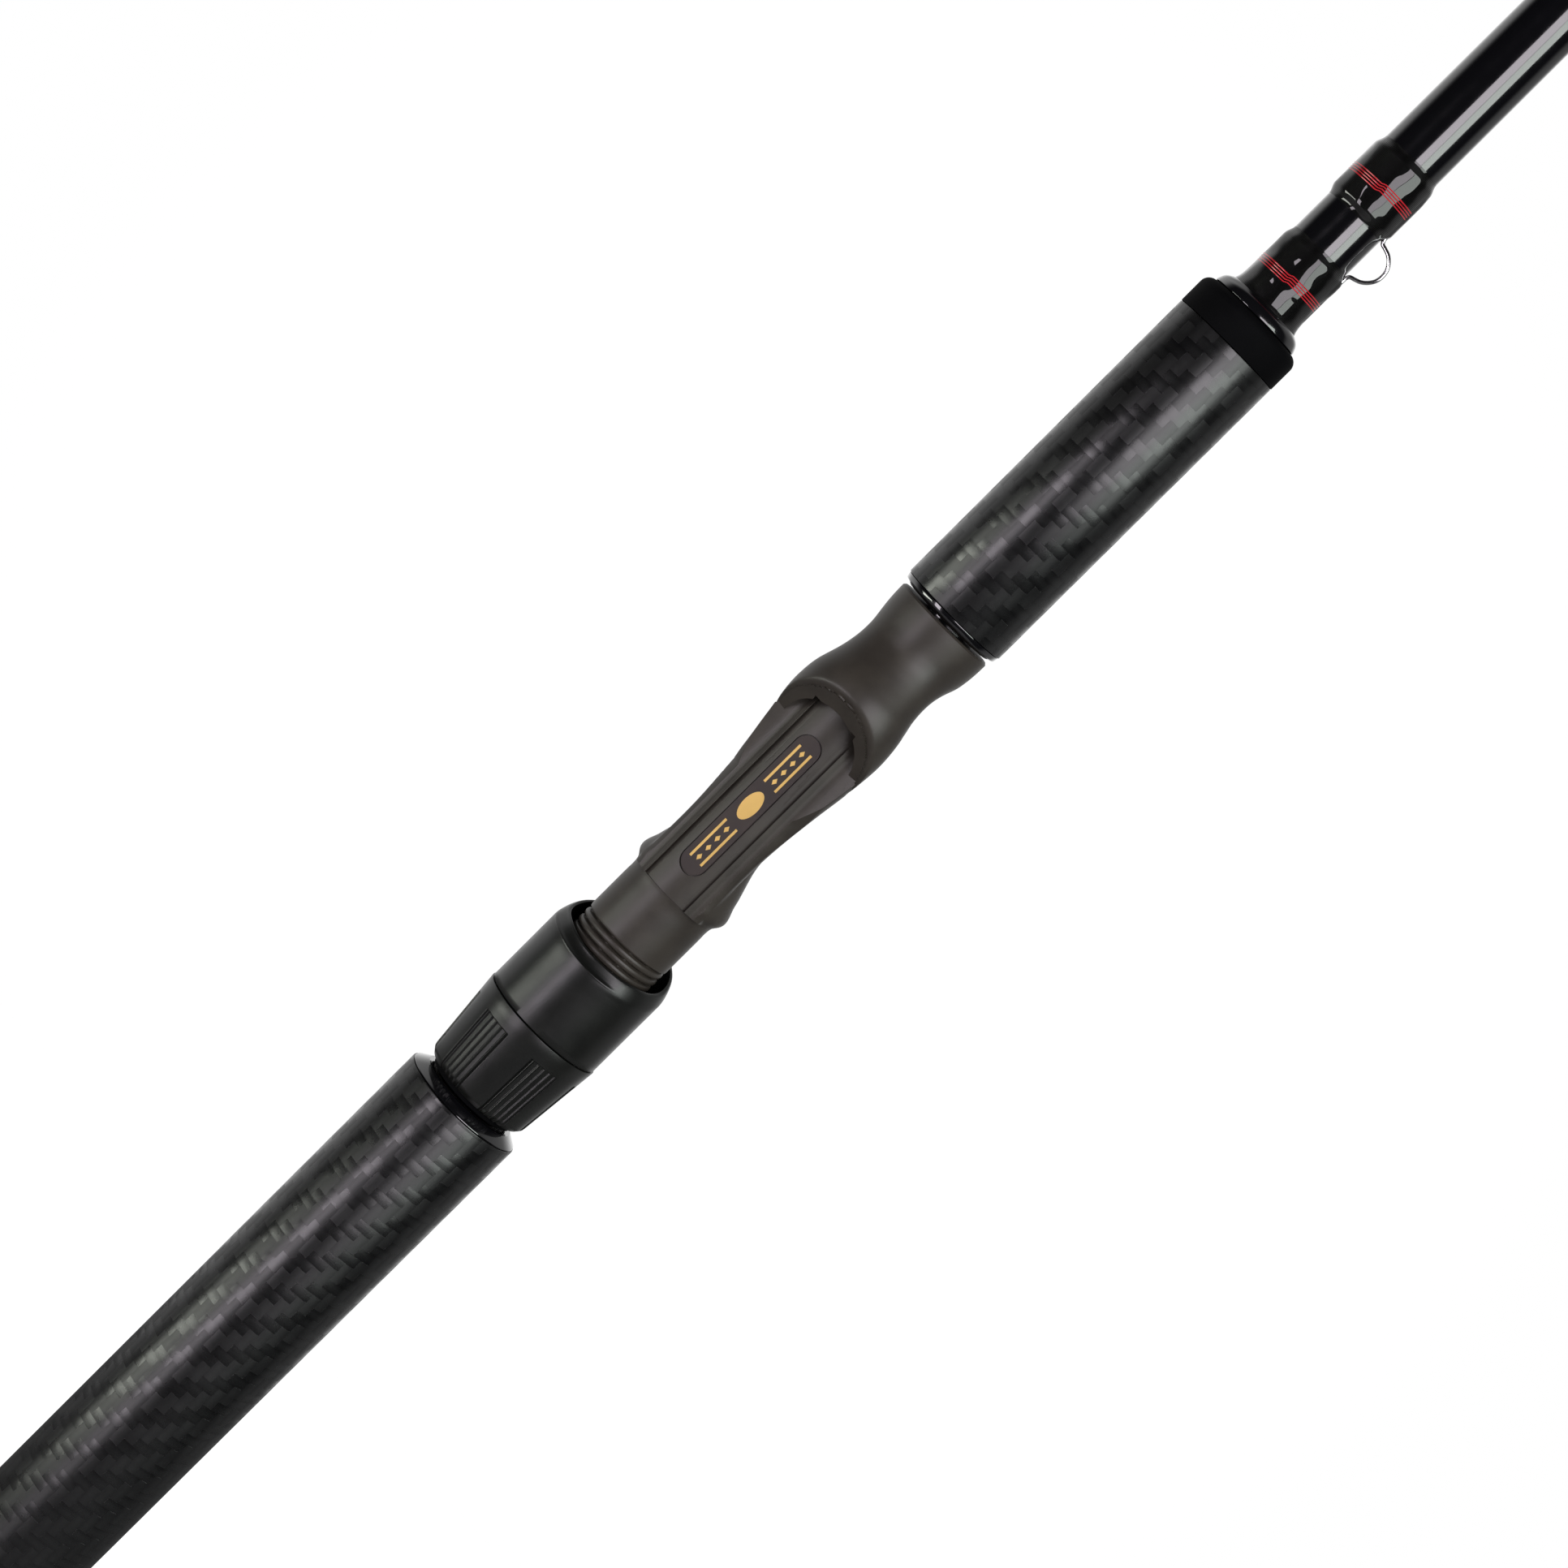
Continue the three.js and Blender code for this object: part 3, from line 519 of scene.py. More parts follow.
# ---- reel seat ----
BARREL_R = 10
RAIL_R = 11.2
RAIL_TOP_R = 10.8  # over the rails' flat tops
CHANNEL_HALF = 5.6
SEAT_TOP = high("reel_seat_body")
SEAT_BOTTOM = low("reel_seat_body")
THREAD_TOP = SEAT_BOTTOM + 45.6
THREAD_PITCH = 1.75
NUT_BOTTOM = low("nut_shell")
RAIL_BOTTOM = SEAT_BOTTOM + 57.3
MOUTH = SEAT_BOTTOM + 109
POCKET_TOP = SEAT_BOTTOM + 112.7
POCKET_HALF = 9
HOOD_STARTS = SEAT_BOTTOM + 84.7  # from here the seat swells into its fixed hood
HOOD_FRONT_Y = 17
RIM_SLANT = 1.15  # rise of the fixed hood's rim for each mm towards the reel
RIM_EDGE = 0.4  # the rim is worked on from this far in front of its plane
LIP_DEPTH = 0.9  # rounding of the rim, and how far back it reaches
LIP_LENGTH = 1.8
HOOD_SWELL = 0.3  # growth of the hood's largest radius for each mm of height
SEAT_BLEND = 0.35  # softness where the barrel meets the rails
CHANNEL_MARGIN = 0.35
CHANNEL_END = 396
POCKET_MIDDLE_Y = -8
POCKET_DEPTH = 6.6
CUT_BOTTOM, CUT_TOP = 330, 460  # the cutters round the rod run from here to here

seat_round = smooth_curve([
    (346, 10), (356, 10), (358.8, 10), (359.6, 10.15), (361.3, 11.2), (366, 10.3), (375, 7.95),
    (383, 7.95), (390.5, 8.5), (398.5, 9.5), (407.5, 10.5), (413, 9.9), (417.6, 9.0),
    (420, 8.9), (422.4, 9.1), (424.8, 9.75), (427.2, 10.5), (429.6, 10.9), (432, 11.1),
    (434.6, 11.15)])
oval_width = smooth_curve([
    (359.6, 8.9), (379, 8.95), (390.5, 10.1), (398.5, 11.2), (408, 11.95), (413, 11.35),
    (415.2, 10.75), (417.6, 10.2), (420, 9.87), (422.4, 9.8), (424.8, 10.05), (427.2, 10.5),
    (430, 10.85), (434.6, 11.05)])
oval_depth = smooth_curve([
    (359.6, 6.6), (379, 6.6), (398.5, 8.6), (408, 9.4), (413, 9.0), (415.2, 8.6), (417.6, 8.3),
    (420, 8.0), (422.4, 8.2), (424.8, 9.1), (427.2, 10.35), (430, 10.85), (434.6, 11.05)])
oval_forward = smooth_curve([
    (359.6, 5.9), (379, 6.0), (398.5, 6.4), (408, 7.8), (413, 8.0), (415.2, 7.7), (417.6, 6.7),
    (420, 5.6), (422.4, 4.2), (424.8, 2.4), (427.2, 0.8), (430, 0.2), (434.6, 0)])


def smooth_max(a, b, k):
    return (a + b + np.sqrt((a - b) ** 2 + k * k)) / 2


def oval_radius(turn, z):
    wide, deep, forward = oval_width(z), oval_depth(z), oval_forward(z)
    s, c = np.sin(turn), np.cos(turn)
    a = (s / wide) ** 2 + (c / deep) ** 2
    b = -2 * forward * c / deep**2
    rest = (forward / deep) ** 2 - 1
    return (-b + np.sqrt(b * b - 4 * a * rest)) / (2 * a)


def rim_height(y):
    """Height of the fixed hood's slanted rim at a depth y in front of the axis."""
    return MOUTH - RIM_SLANT * (HOOD_FRONT_Y + y)


def seat_radius(turn, z):
    """The seat's outside: barrel, flare, rails and fixed hood, before its pocket is cut."""
    limit = RAIL_R + HOOD_SWELL * np.maximum(z - HOOD_STARTS, 0)
    r = smooth_max(seat_round(z), np.minimum(oval_radius(turn, z), limit), SEAT_BLEND)
    behind = z - rim_height(-r * np.cos(turn))
    rounding = -LIP_DEPTH * (1 - np.clip(behind, 0, LIP_LENGTH) / LIP_LENGTH) ** 2
    lip = np.where(behind > -RIM_EDGE, rounding, 0)
    facing = smooth_step(np.cos(turn), 0.1, 0.6)
    r = r + facing * lip
    over_channel = np.abs(r * np.sin(turn)) < CHANNEL_HALF - CHANNEL_MARGIN
    in_channel = over_channel & (np.cos(turn) > 0) & (z < CHANNEL_END)
    r = np.where(in_channel, np.minimum(r, BARREL_R), r)
    return np.where(z < RAIL_BOTTOM, seat_round(z), r)


def seat_solid():
    heights = np.concatenate([
        np.linspace(THREAD_TOP - 1, RAIL_BOTTOM - 0.9, 12), [RAIL_BOTTOM - 0.5],
        [RAIL_BOTTOM - 0.04], np.linspace(RAIL_BOTTOM + 0.04, 363, 16),
        np.linspace(363.5, 392, 58), np.linspace(392.4, SEAT_TOP - 0.4, 130), [SEAT_TOP]])
    columns = 256
    rows = []
    for z in heights:
        r = seat_radius(angles(columns), np.full(columns, z))
        rows.append(ring_points(r - (0.4 if z == SEAT_TOP else 0), z, columns))
    return tube_mesh("reel_seat", rows, SEAT, False)


def rail_solid():
    """What stays in front of the fixed hood: round over the rails, free at the sides."""
    columns = 240
    turn = angles(columns)
    aside = np.abs((turn + math.pi) % (2 * math.pi) - math.pi)
    r = RAIL_TOP_R + 4 * np.clip((aside - 0.66) / 0.3, 0, 2) ** 2
    rows = [ring_points(r, z, columns) for z in (CUT_BOTTOM, CUT_TOP)]
    return tube_mesh("rails", rows, SEAT, False)


def cut_mouth(seat):
    """Clears the space over the rails up to the slanted rim, and the pocket under the hood."""
    front, deep, bottom, half = -40, -3.0, 340, 16
    profile = [(front, bottom), (deep, bottom), (deep, rim_height(deep)),
               (front, rim_height(front))]
    block = prism("block", [(-half, y, z) for y, z in profile], (2 * half, 0, 0))
    subtract(block, rail_solid())
    subtract(seat, block)
    turn = np.linspace(0, 2 * math.pi, 97)[:-1]
    arch = [(POCKET_HALF * math.cos(t), POCKET_MIDDLE_Y + POCKET_DEPTH * math.sin(t))
            for t in turn]
    rows = [[(x, y, rim_height(y) - RIM_EDGE) for x, y in arch],
            [(x, y, POCKET_TOP) for x, y in arch]]
    pocket = tube_mesh("pocket", rows, SEAT, False)
    subtract(pocket, rail_solid())
    subtract(seat, pocket)


def cut_channel(seat):
    """Cuts the channel between the rails down to the barrel, and no deeper."""
    half, front = CHANNEL_HALF, -14
    start = RAIL_BOTTOM - 0.02
    outline = [(-half, front, start), (half, front, start), (half, 0, start), (-half, 0, start)]
    slot = prism("slot", outline, (0, 0, POCKET_TOP - start))
    subtract(slot, cylinder_cutter("barrel", BARREL_R + 0.03, 330, 430))
    subtract(seat, slot)


BADGE_MIDDLE = (low("seat_badge") + high("seat_badge")) / 2
BADGE_HALF = (high("seat_badge") - low("seat_badge")) / 2
BADGE_R = radius("seat_badge")
BADGE_FACE_Y = -9.62
BAR_X, BAR_HALF = 1.48, 0.26  # the gold bars' place and half width
BAR_START, BAR_END = 5.2, 15.2  # from the badge's middle
LOZENGE_START, LOZENGE_STEP, LOZENGE_WIDE, LOZENGE_TALL = 6.6, 2.5, 0.5, 0.8
OVAL_WIDE, OVAL_TALL = 1.75, 3.4


def stadium(grow, y, columns=48):
    """The badge's outline, grown by so much, in the plane at y."""
    r = BADGE_R + grow
    straight = BADGE_HALF - BADGE_R
    turn = np.linspace(0, math.pi, columns // 2)
    top = [(r * math.cos(t), y, BADGE_MIDDLE + straight + r * math.sin(t)) for t in turn]
    bottom = [(-r * math.cos(t), y, BADGE_MIDDLE - straight - r * math.sin(t)) for t in turn]
    return top + bottom


def add_thread():
    """The seat's rounded outside thread, one groove a pitch, climbing as a right-hand thread."""
    columns, per_pitch = 144, 12
    inside, groove_depth, crest_drop = 8.3, 0.85, 0.12
    bottom, top = SEAT_BOTTOM, THREAD_TOP
    heights = np.arange(bottom, top + 0.7, THREAD_PITCH / per_pitch)
    turn = angles(columns)
    rows = [ring_points(inside, bottom, columns)]
    for z in heights:
        phase = (z - top) / THREAD_PITCH - turn / (2 * math.pi)
        groove = 0.5 + 0.5 * np.cos(2 * math.pi * phase)
        fade = smooth_step(top - z, -0.2, 0.9)
        crest = crest_drop * (1 - (2 * np.abs((phase + 0.5) % 1 - 0.5)) ** 2)
        depth = fade * (groove_depth * groove**7 + crest)
        rows.append(ring_points(BARREL_R - depth, z, columns))
    rows.append(ring_points(inside, heights[-1], columns))
    thread = shade(tube_mesh("seat_thread", rows, SEAT, True), 60)
    install(thread, "butt_section", "seat_grey")
    # painted shade: a matte black sleeve over the thread's lower end, so the gap between the grip's
    # ring and the nut shows dark as shade
    collar = sleeve("seat_shade_collar", 9.5, 10.14, bottom, NUT_BOTTOM + 1.2, RUBBER, 0.05)
    install(shade(collar), "butt_section", "matte_black")


def add_seat():
    seat = seat_solid()
    cut_mouth(seat)
    cut_channel(seat)
    recess = prism("recess", stadium(0.25, -12), (0, 2.75, 0))
    subtract(seat, recess)
    install(shade(seat, 28), "butt_section", "seat_grey", "reel_seat_body")
    add_thread()


def add_badge():
    """An oval inset with plain gold ornament: bars and lozenges on both sides of an oval."""
    badge = prism("badge_inset", stadium(-0.02, BADGE_FACE_Y), (0, 0.6, 0))
    badge.data.materials[0] = BADGE
    install(shade(badge), "butt_section", "badge", "seat_badge")
    parts, faces = [], []

    def plate(outline):
        start = len(parts)
        count = len(outline)
        parts.extend((x, BADGE_FACE_Y - 0.08, z) for x, z in outline)
        parts.extend((x, BADGE_FACE_Y + 0.1, z) for x, z in outline)
        faces.append(tuple(range(start, start + count)))
        faces.append(tuple(reversed(range(start + count, start + 2 * count))))
        for i in range(count):
            k = (i + 1) % count
            faces.append((start + k, start + i, start + count + i, start + count + k))

    for side in (-1, 1):
        z0, z1 = sorted((BADGE_MIDDLE + side * BAR_START, BADGE_MIDDLE + side * BAR_END))
        for x in (-BAR_X, BAR_X):
            x0, x1 = x - BAR_HALF, x + BAR_HALF
            plate([(x0, z0), (x1, z0), (x1, z1), (x0, z1)])
        for step in range(4):
            middle = BADGE_MIDDLE + side * (LOZENGE_START + LOZENGE_STEP * step)
            plate([(-LOZENGE_WIDE, middle), (0, middle - LOZENGE_TALL),
                   (LOZENGE_WIDE, middle), (0, middle + LOZENGE_TALL)])
    turn = np.linspace(0, 2 * math.pi, 33)[:-1]
    plate([(OVAL_WIDE * math.cos(t), BADGE_MIDDLE + OVAL_TALL * math.sin(t)) for t in turn])
    ornament = make_mesh("badge_ornament", parts, faces, GOLD)
    install(shade(ornament), "butt_section", "badge")


# ---- lock nut and sliding hood ----
NUT_TOP = high("nut_shell")
HOOD_BOTTOM = low("hood_shell")
HOOD_R = radius("hood_shell")
NUT_PANELS = 6
PANEL_CENTRE = math.radians(-20.2)
RIB_PITCH = math.radians(6.7)
RIBS = 5
GROOVE_DEPTH = 0.4
PANEL_TOP = 16  # top end of the ribbed panels above the nut's lower end


def nut_grooves(turn, z):
    """Depth share of the flat grooves between the thin ribs: 0 on a rib and off the panels."""
    panel = 2 * math.pi / NUT_PANELS
    offset = (turn - PANEL_CENTRE + panel / 2) % panel - panel / 2
    ribs = offset / RIB_PITCH
    inside = 1 - smooth_step(np.abs(ribs), RIBS / 2 - 0.3, RIBS / 2 - 0.05)
    from_rib = np.abs(ribs - np.round(ribs))
    groove = smooth_step(from_rib, 0.0, 0.24)
    end = 1 - smooth_step(z, NUT_BOTTOM + PANEL_TOP - 0.1, NUT_BOTTOM + PANEL_TOP + 0.1)
    return inside * groove * end


def add_nut():
    columns = 1440
    turn = angles(columns)
    profile = [(10.6, 0.8, 0), (11.3, 0.8, 0.08), (12.2, 1.9, 1.3), (13.9, 20.0, 0.08),
               (10.6, 20.0, 0)]
    points = filleted([(r, NUT_BOTTOM + z, f) for r, z, f in profile], 0.2)
    rows = []
    for (r, z), (next_r, next_z) in zip(points, points[1:] + points[:1]):
        rows.append((r, z))
        if next_z - z > 5:
            panel_end = NUT_BOTTOM + PANEL_TOP + np.linspace(-0.25, 0.25, 7)
            for height in sorted([*np.linspace(z, next_z, 8)[1:-1], *panel_end]):
                share = (height - z) / (next_z - z)
                rows.append((r + (next_r - r) * share, height))
    outside = 11  # rows with a smaller radius belong to the bore
    rings = []
    for r, z in rows:
        depth = GROOVE_DEPTH * nut_grooves(turn, z) if r > outside else 0
        rings.append(ring_points(r - depth, z, columns))
    nut = shade(tube_mesh("lock_nut_shell", rings, HOOD, True), 50)
    install(nut, "lock_nut", "hood_grey", "nut_shell")


HOOD_POCKET_R = 11.9
HOOD_BORE_R = 10.6
NOSE = 6  # length of the hood's shaped nose, and height of the shelf inside it

# height of the mouth's rim by the cosine of the angle from the reel side
hood_rim = smooth_curve([
    (-1, 348.8), (-0.8, 347.9), (-0.3, 345.3), (0, 343.8), (0.3, 342.9), (0.75, 342.1), (1, 341.3)])
# outside radius by the distance below the rim: round at the sides, creased in front
hood_side = smooth_curve([
    (0, 12.6), (0.5, 12.9), (1.8, 13.4), (3.0, 13.68), (4.2, HOOD_R), (7, HOOD_R)])
hood_front = smooth_curve([
    (0, 12.25), (0.8, 12.42), (1.6, 12.78), (2.15, 13.2), (2.5, 13.66), (2.9, HOOD_R),
    (7, HOOD_R)])


def add_hood():
    """A sleeve with a round nose and, in front, a crease and a hollow lip round its mouth."""
    columns = 320
    turn = angles(columns)
    rim = hood_rim(np.cos(turn))
    facing = smooth_step(np.cos(turn + 0.36), 0.5, 0.9)
    inner = HOOD_BORE_R + (HOOD_POCKET_R - HOOD_BORE_R) * smooth_step(np.cos(turn), -0.95, -0.6)
    shelf = HOOD_BOTTOM + NOSE

    def outer(below):
        return hood_side(below) * (1 - facing) + hood_front(below) * facing

    line = [(HOOD_R - 0.15, HOOD_BOTTOM)]
    for share in np.linspace(0.01, 1, 10)[:-1]:
        line.append((HOOD_R, HOOD_BOTTOM + (rim - NOSE - HOOD_BOTTOM) * share))
    line += [(outer(below), rim - below) for below in np.linspace(NOSE, 0.25, 70)]
    line += [(outer(0) - 0.08, rim - 0.06), (outer(0) - 0.2, rim), (inner + 0.08, rim),
             (inner, rim - 0.12)]
    line += [(inner, rim - (rim - shelf) * share) for share in np.linspace(0.05, 1, 12)]
    line += [(HOOD_BORE_R - 0.01, shelf - 0.01), (HOOD_BORE_R, HOOD_BOTTOM)]
    rows = [ring_points(r, z, columns) for r, z in line]
    hood = shade(tube_mesh("sliding_hood_shell", rows, HOOD, True), 50)
    install(hood, "sliding_hood", "hood_grey", "hood_shell")


def add_hood_liner():
    liner = sleeve("hood_liner_sleeve", 10.25, HOOD_POCKET_R - 0.15, HOOD_BOTTOM + 0.2,
                   HOOD_BOTTOM + 6.1, STEEL)
    install(shade(liner), "sliding_hood", "steel", "hood_liner")
    insert = sleeve("nut_insert", 10.25, 10.5, NUT_BOTTOM + 1.6, NUT_TOP, STEEL, 0.05)
    install(shade(insert), "lock_nut", "steel", "nut_thread_insert")


# ---- blank, grips and trim ----
KEEPER_Z = 540.0
BUTT_TOP = high("butt_blank")
FERRULE_Z = low("tip_blank")
ROD_TOP = high("tip_top_frame")
BUTT_RADII = (7.2, 6.8, 4.45)  # at the butt, at the keeper and at the ferrule
FERRULE_STEP = 1.0  # how much the tip section's sleeve stands out over the butt section
TIP_R = 1.15
BUTT_WALL = 1.1
TIP_BORE_TOP = 2300  # the tip section is solid above this
GRIP_BORE = 7.3
SKIN_WALL = 0.8
GRIP_COLUMNS = 192


def butt_radius(z):
    return np.interp(z, [0, KEEPER_Z, BUTT_TOP], BUTT_RADII)


def tip_radius(z):
    return np.interp(z, [FERRULE_Z, ROD_TOP], [butt_radius(FERRULE_Z) + FERRULE_STEP, TIP_R])


def blank_radius(z):
    return float(butt_radius(z) if z < FERRULE_Z else tip_radius(z))


def add_blanks():
    heights = np.linspace(low("butt_blank"), BUTT_TOP, 90)
    rows = [ring_points(butt_radius(z), z, 96) for z in heights]
    rows += [ring_points(butt_radius(z) - BUTT_WALL, z, 96) for z in heights[::-1]]
    butt = shade(tube_mesh("butt_section_blank", rows, LACQUER, True))
    install(butt, "butt_section", "blank_gloss", "butt_blank")
    heights = np.linspace(FERRULE_Z, high("tip_blank"), 80)
    rows = [ring_points(tip_radius(z), z, 64) for z in heights]
    inner = heights[heights < TIP_BORE_TOP][::-1]
    wall = np.interp(inner, [FERRULE_Z, 1450, TIP_BORE_TOP], [0.9, 0.9, 1.1])
    rows += [ring_points(tip_radius(z) - w, z, 64) for z, w in zip(inner, wall)]
    tip = shade(tube_mesh("tip_section_blank", rows, LACQUER, True))
    install(tip, "tip_section", "blank_gloss", "tip_blank")


def add_grip_skin(name, node, material):
    r = radius(node)
    skin = sleeve(name, r - SKIN_WALL, r, low(node), high(node), material, 0.2, GRIP_COLUMNS)
    install(shade(skin), "butt_section", "carbon_skin", node)


def add_turned(name, node, bore, bottom, top, material, slot, middle=()):
    """A turned ring of the handle.

    bottom and top are (radius, fillet) of its outer corners; middle lists (radius, height over the
    lower end, fillet) between them.
    """
    z0, z1 = low(node), high(node)
    between = [(r, z0 + z, fillet) for r, z, fillet in middle]
    corners = [(bore, z0, 0), (bottom[0], z0, bottom[1]), *between, (top[0], z1, top[1]),
               (bore, z1, 0)]
    turned = lathe(name, corners, material, GRIP_COLUMNS)
    install(shade(turned), "butt_section", slot, node)


def add_grips():
    add_grip_skin("rear_grip_carbon", "rear_grip_skin", CARBON_REAR)
    add_turned("rear_grip_bevel_ring", "rear_grip_end_ring", GRIP_BORE,
               (radius("rear_grip_skin"), 0.12), (11, 0.2), BLACK, "gloss_black")
    add_grip_skin("foregrip_carbon", "foregrip_skin", CARBON_FORE)
    ring = "foregrip_rear_ring"
    bevel_end = high(ring) - low(ring) - 1.1
    add_turned("foregrip_bevel_ring", ring, 7.1, (10.3, 0.2), (12.0, 0.1), BLACK, "gloss_black",
               [(11.8, bevel_end, 0.3)])
    add_turned("foregrip_cap", "foregrip_front_cap", 7.0, (12.2, 0.15), (12.2, 2.2), RUBBER,
               "matte_black")
    add_turned("winding_check_cone", "winding_check", 6.95, (10.45, 0.25), (8.3, 0.15), BLACK,
               "gloss_black", [(9.7, 1.9, 2.5)])


def add_butt_end():
    z1 = high("butt_cap")
    r = radius("butt_cap")
    corners = [(0.001, 0, 0), (r - 2.4, 0, 0.6), (r, 2.4, 1.6), (r, z1, 0.8),
               (GRIP_BORE, z1, 0), (GRIP_BORE, 5, 0), (0.001, 5, 0)]
    cap = lathe("butt_end_cap", corners, RUBBER, 160)
    install(shade(cap), "butt_section", "matte_black", "butt_cap")
    z0, z1 = low("butt_trim_ring"), high("butt_trim_ring")
    r = radius("butt_trim_ring")
    ring = sleeve("butt_ring", GRIP_BORE, r, z0, z1, STEEL, 0.6, 160)
    install(shade(ring), "butt_section", "steel", "butt_trim_ring")


# ---- windings ----
EPOXY_RUN = 1.4  # how far the epoxy runs out past the thread
EPOXY_RISE = 0.9  # and how far inside the ends it is at full height
TRIM_THREAD_R = 0.15
TRIM_JOG = 0.4  # climb of a trim turn where it steps to the next


def winding(name, z0, z1, body, node, build, foot=None, flare=0.0):
    """Thread and epoxy round the blank from z0 to z1, thinning at both ends.

    flare is how far its epoxy climbs at z0 on to what stands there. foot is (angle, half width,
    height, toe, heel) of a foot under the thread, which rises from the toe to the heel.
    """
    columns = 96
    turn = angles(columns)
    start = z0 if flare else z0 - EPOXY_RUN
    heights = np.concatenate([[start], np.linspace(start + 0.1, z1 + EPOXY_RUN - 0.1, 60),
                              [z1 + EPOXY_RUN]])
    rows = []
    for z in heights:
        ramp = 1 - smooth_step(z, z1 - EPOXY_RISE, z1 + EPOXY_RUN)
        if not flare:
            ramp = ramp * smooth_step(z, z0 - EPOXY_RUN, z0 + EPOXY_RISE)
        climb = flare * math.exp((z0 - z) / 1.3)
        r = np.full(columns, blank_radius(z) + 0.02 + build * ramp + climb)
        if foot:
            angle, half, tall, toe, heel = foot
            away = (turn - angle + math.pi) % (2 * math.pi) - math.pi
            side = r * np.sin(away)
            shoulder = np.exp(-((np.abs(side) / (half + 0.7)) ** 4)) * (np.cos(away) > 0)
            lift = tall * float(smooth_step(z, toe, heel))
            r = r + shoulder * lift * ramp
        rows.append(ring_points(r, z, columns))
    rows += [ring_points(blank_radius(z) - 0.05, z, columns) for z in heights[::-1]]
    install(shade(tube_mesh(name, rows, THREAD, True), 60), body, "wrap_epoxy", node)


def trim_band(name, z, body, build, rows_of_thread=4, pitch=0.54):
    """Turns of red thread under the skin of a winding, stepping to the next turn in front."""
    parts, faces = [], []
    columns, sides = 128, 10
    turn = angles(columns)
    step = TRIM_JOG * (smooth_step(turn, 0.02, 0.16) - smooth_step(turn, 3.1, 3.24))
    for k in range(rows_of_thread):
        start = len(parts)
        r_mid = blank_radius(z) + build - 0.05
        middle = z + (k - (rows_of_thread - 1) / 2) * pitch
        for j in range(columns):
            for i in range(sides):
                a = 2 * math.pi * i / sides
                r = r_mid + TRIM_THREAD_R * math.cos(a)
                height = middle + TRIM_THREAD_R * math.sin(a) + step[j]
                parts.append((r * math.sin(turn[j]), -r * math.cos(turn[j]), height))
        for j in range(columns):
            for i in range(sides):
                a, b = start + j * sides, start + ((j + 1) % columns) * sides
                faces.append((a + i, a + (i + 1) % sides, b + (i + 1) % sides, b + i))
    install(shade(make_mesh(name, parts, faces, TRIM)), body, "wrap_epoxy")


def add_keeper():
    lower, upper = "keeper_wrap_lower", "keeper_wrap_upper"
    side, half, tall = math.pi / 2, 0.4, 0.25  # the wire feet under the windings
    z0, z1 = high("winding_check") - 0.15, high(lower) - 0.6
    winding("keeper_winding_lower", z0, z1, "butt_section", lower, 0.6,
            (side, half, tall, z1 - 6, z1 - 2), 0.75)
    z0, z1 = low(upper) + 0.8, high(upper) - 0.6
    winding("keeper_winding_upper", z0, z1, "butt_section", upper, 0.72,
            (side, half, tall, z1, z1 - 4))
    trim_band("keeper_trim_lower", low(lower) + 6.1, "butt_section", 0.6)
    trim_band("keeper_trim_upper", low(upper) + 6.1, "butt_section", 0.72)
    add_keeper_wire()


def swept(name, centres, section, material):
    """A tube of `section` (across, through) points carried along centres without twisting."""
    centres = np.asarray(centres, float)
    tangents = np.gradient(centres, axis=0)
    tangents /= np.linalg.norm(tangents, axis=1)[:, None]
    across = np.array([0.0, 1.0, 0.0])
    rows = []
    for centre, tangent in zip(centres, tangents):
        across = across - tangent * (across @ tangent)
        across /= np.linalg.norm(across)
        through = np.cross(tangent, across)
        rows.append([centre + a * across + b * through for a, b in section])
    return tube_mesh(name, rows, material, False)


def circle_section(r, count=16):
    return [(r * math.cos(t), r * math.sin(t)) for t in angles(count)]


def rounded_path(corners, steps=10):
    """A smooth route through corner points (uniform Catmull-Rom)."""
    p = np.asarray(corners, float)
    p = np.vstack([2 * p[0] - p[1], p, 2 * p[-1] - p[-2]])
    route = []
    for i in range(1, len(p) - 2):
        for t in np.linspace(0, 1, steps, endpoint=False):
            a = 2 * p[i]
            b = p[i + 1] - p[i - 1]
            c = 2 * p[i - 1] - 5 * p[i] + 4 * p[i + 1] - p[i + 2]
            d = -p[i - 1] + 3 * p[i] - 3 * p[i + 1] + p[i + 2]
            route.append(0.5 * (a + b * t + c * t**2 + d * t**3))
    route.append(p[-2])
    return np.array(route)


def add_keeper_wire():
    """A stainless loop that stands off the blank on the keeper side, its feet wound down."""
    foot = blank_radius(KEEPER_Z) + 0.35
    middle = 540.5
    half = [(foot, 16.5), (foot, 10), (foot, 6), (foot + 0.08, 5.0), (foot + 0.5, 4.35),
            (8.6, 4.05), (9.8, 3.6), (10.9, 2.7), (11.7, 1.45)]
    corners = [(x, middle - z) for x, z in half] + [(11.95, middle)]
    corners += [(x, middle + z) for x, z in reversed(half)]
    route = rounded_path([(x, 0, z) for x, z in corners])
    wire = shade(swept("keeper_wire", route, circle_section(0.42), STEEL))
    install(wire, "butt_section", "steel", "hook_keeper")


# ---- guides ----
GUIDES = range(1, 9)
HOOP_OUT = 1.15  # the hoop's wall outside its ring
HOOP_MIDDLE = 0.6  # where the legs meet the hoop, outside its ring
HOOP_HALF = 0.65
UPPER_LEG_ANGLE = 0.75


def ring_facts(node):
    """A ring's size, how far its middle stands off the axis, and its height, from the frame."""
    lowest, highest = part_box(node)
    size = (highest.x - lowest.x) / MM
    stand = -(lowest.y + highest.y) / 2 / MM
    z = (lowest.z + highest.z) / 2 / MM
    return size, stand, z


def stood_off(rows, stand):
    """Rings round the rod's axis, moved out to a guide's place."""
    return [row + np.array([0, -stand, 0]) for row in rows]


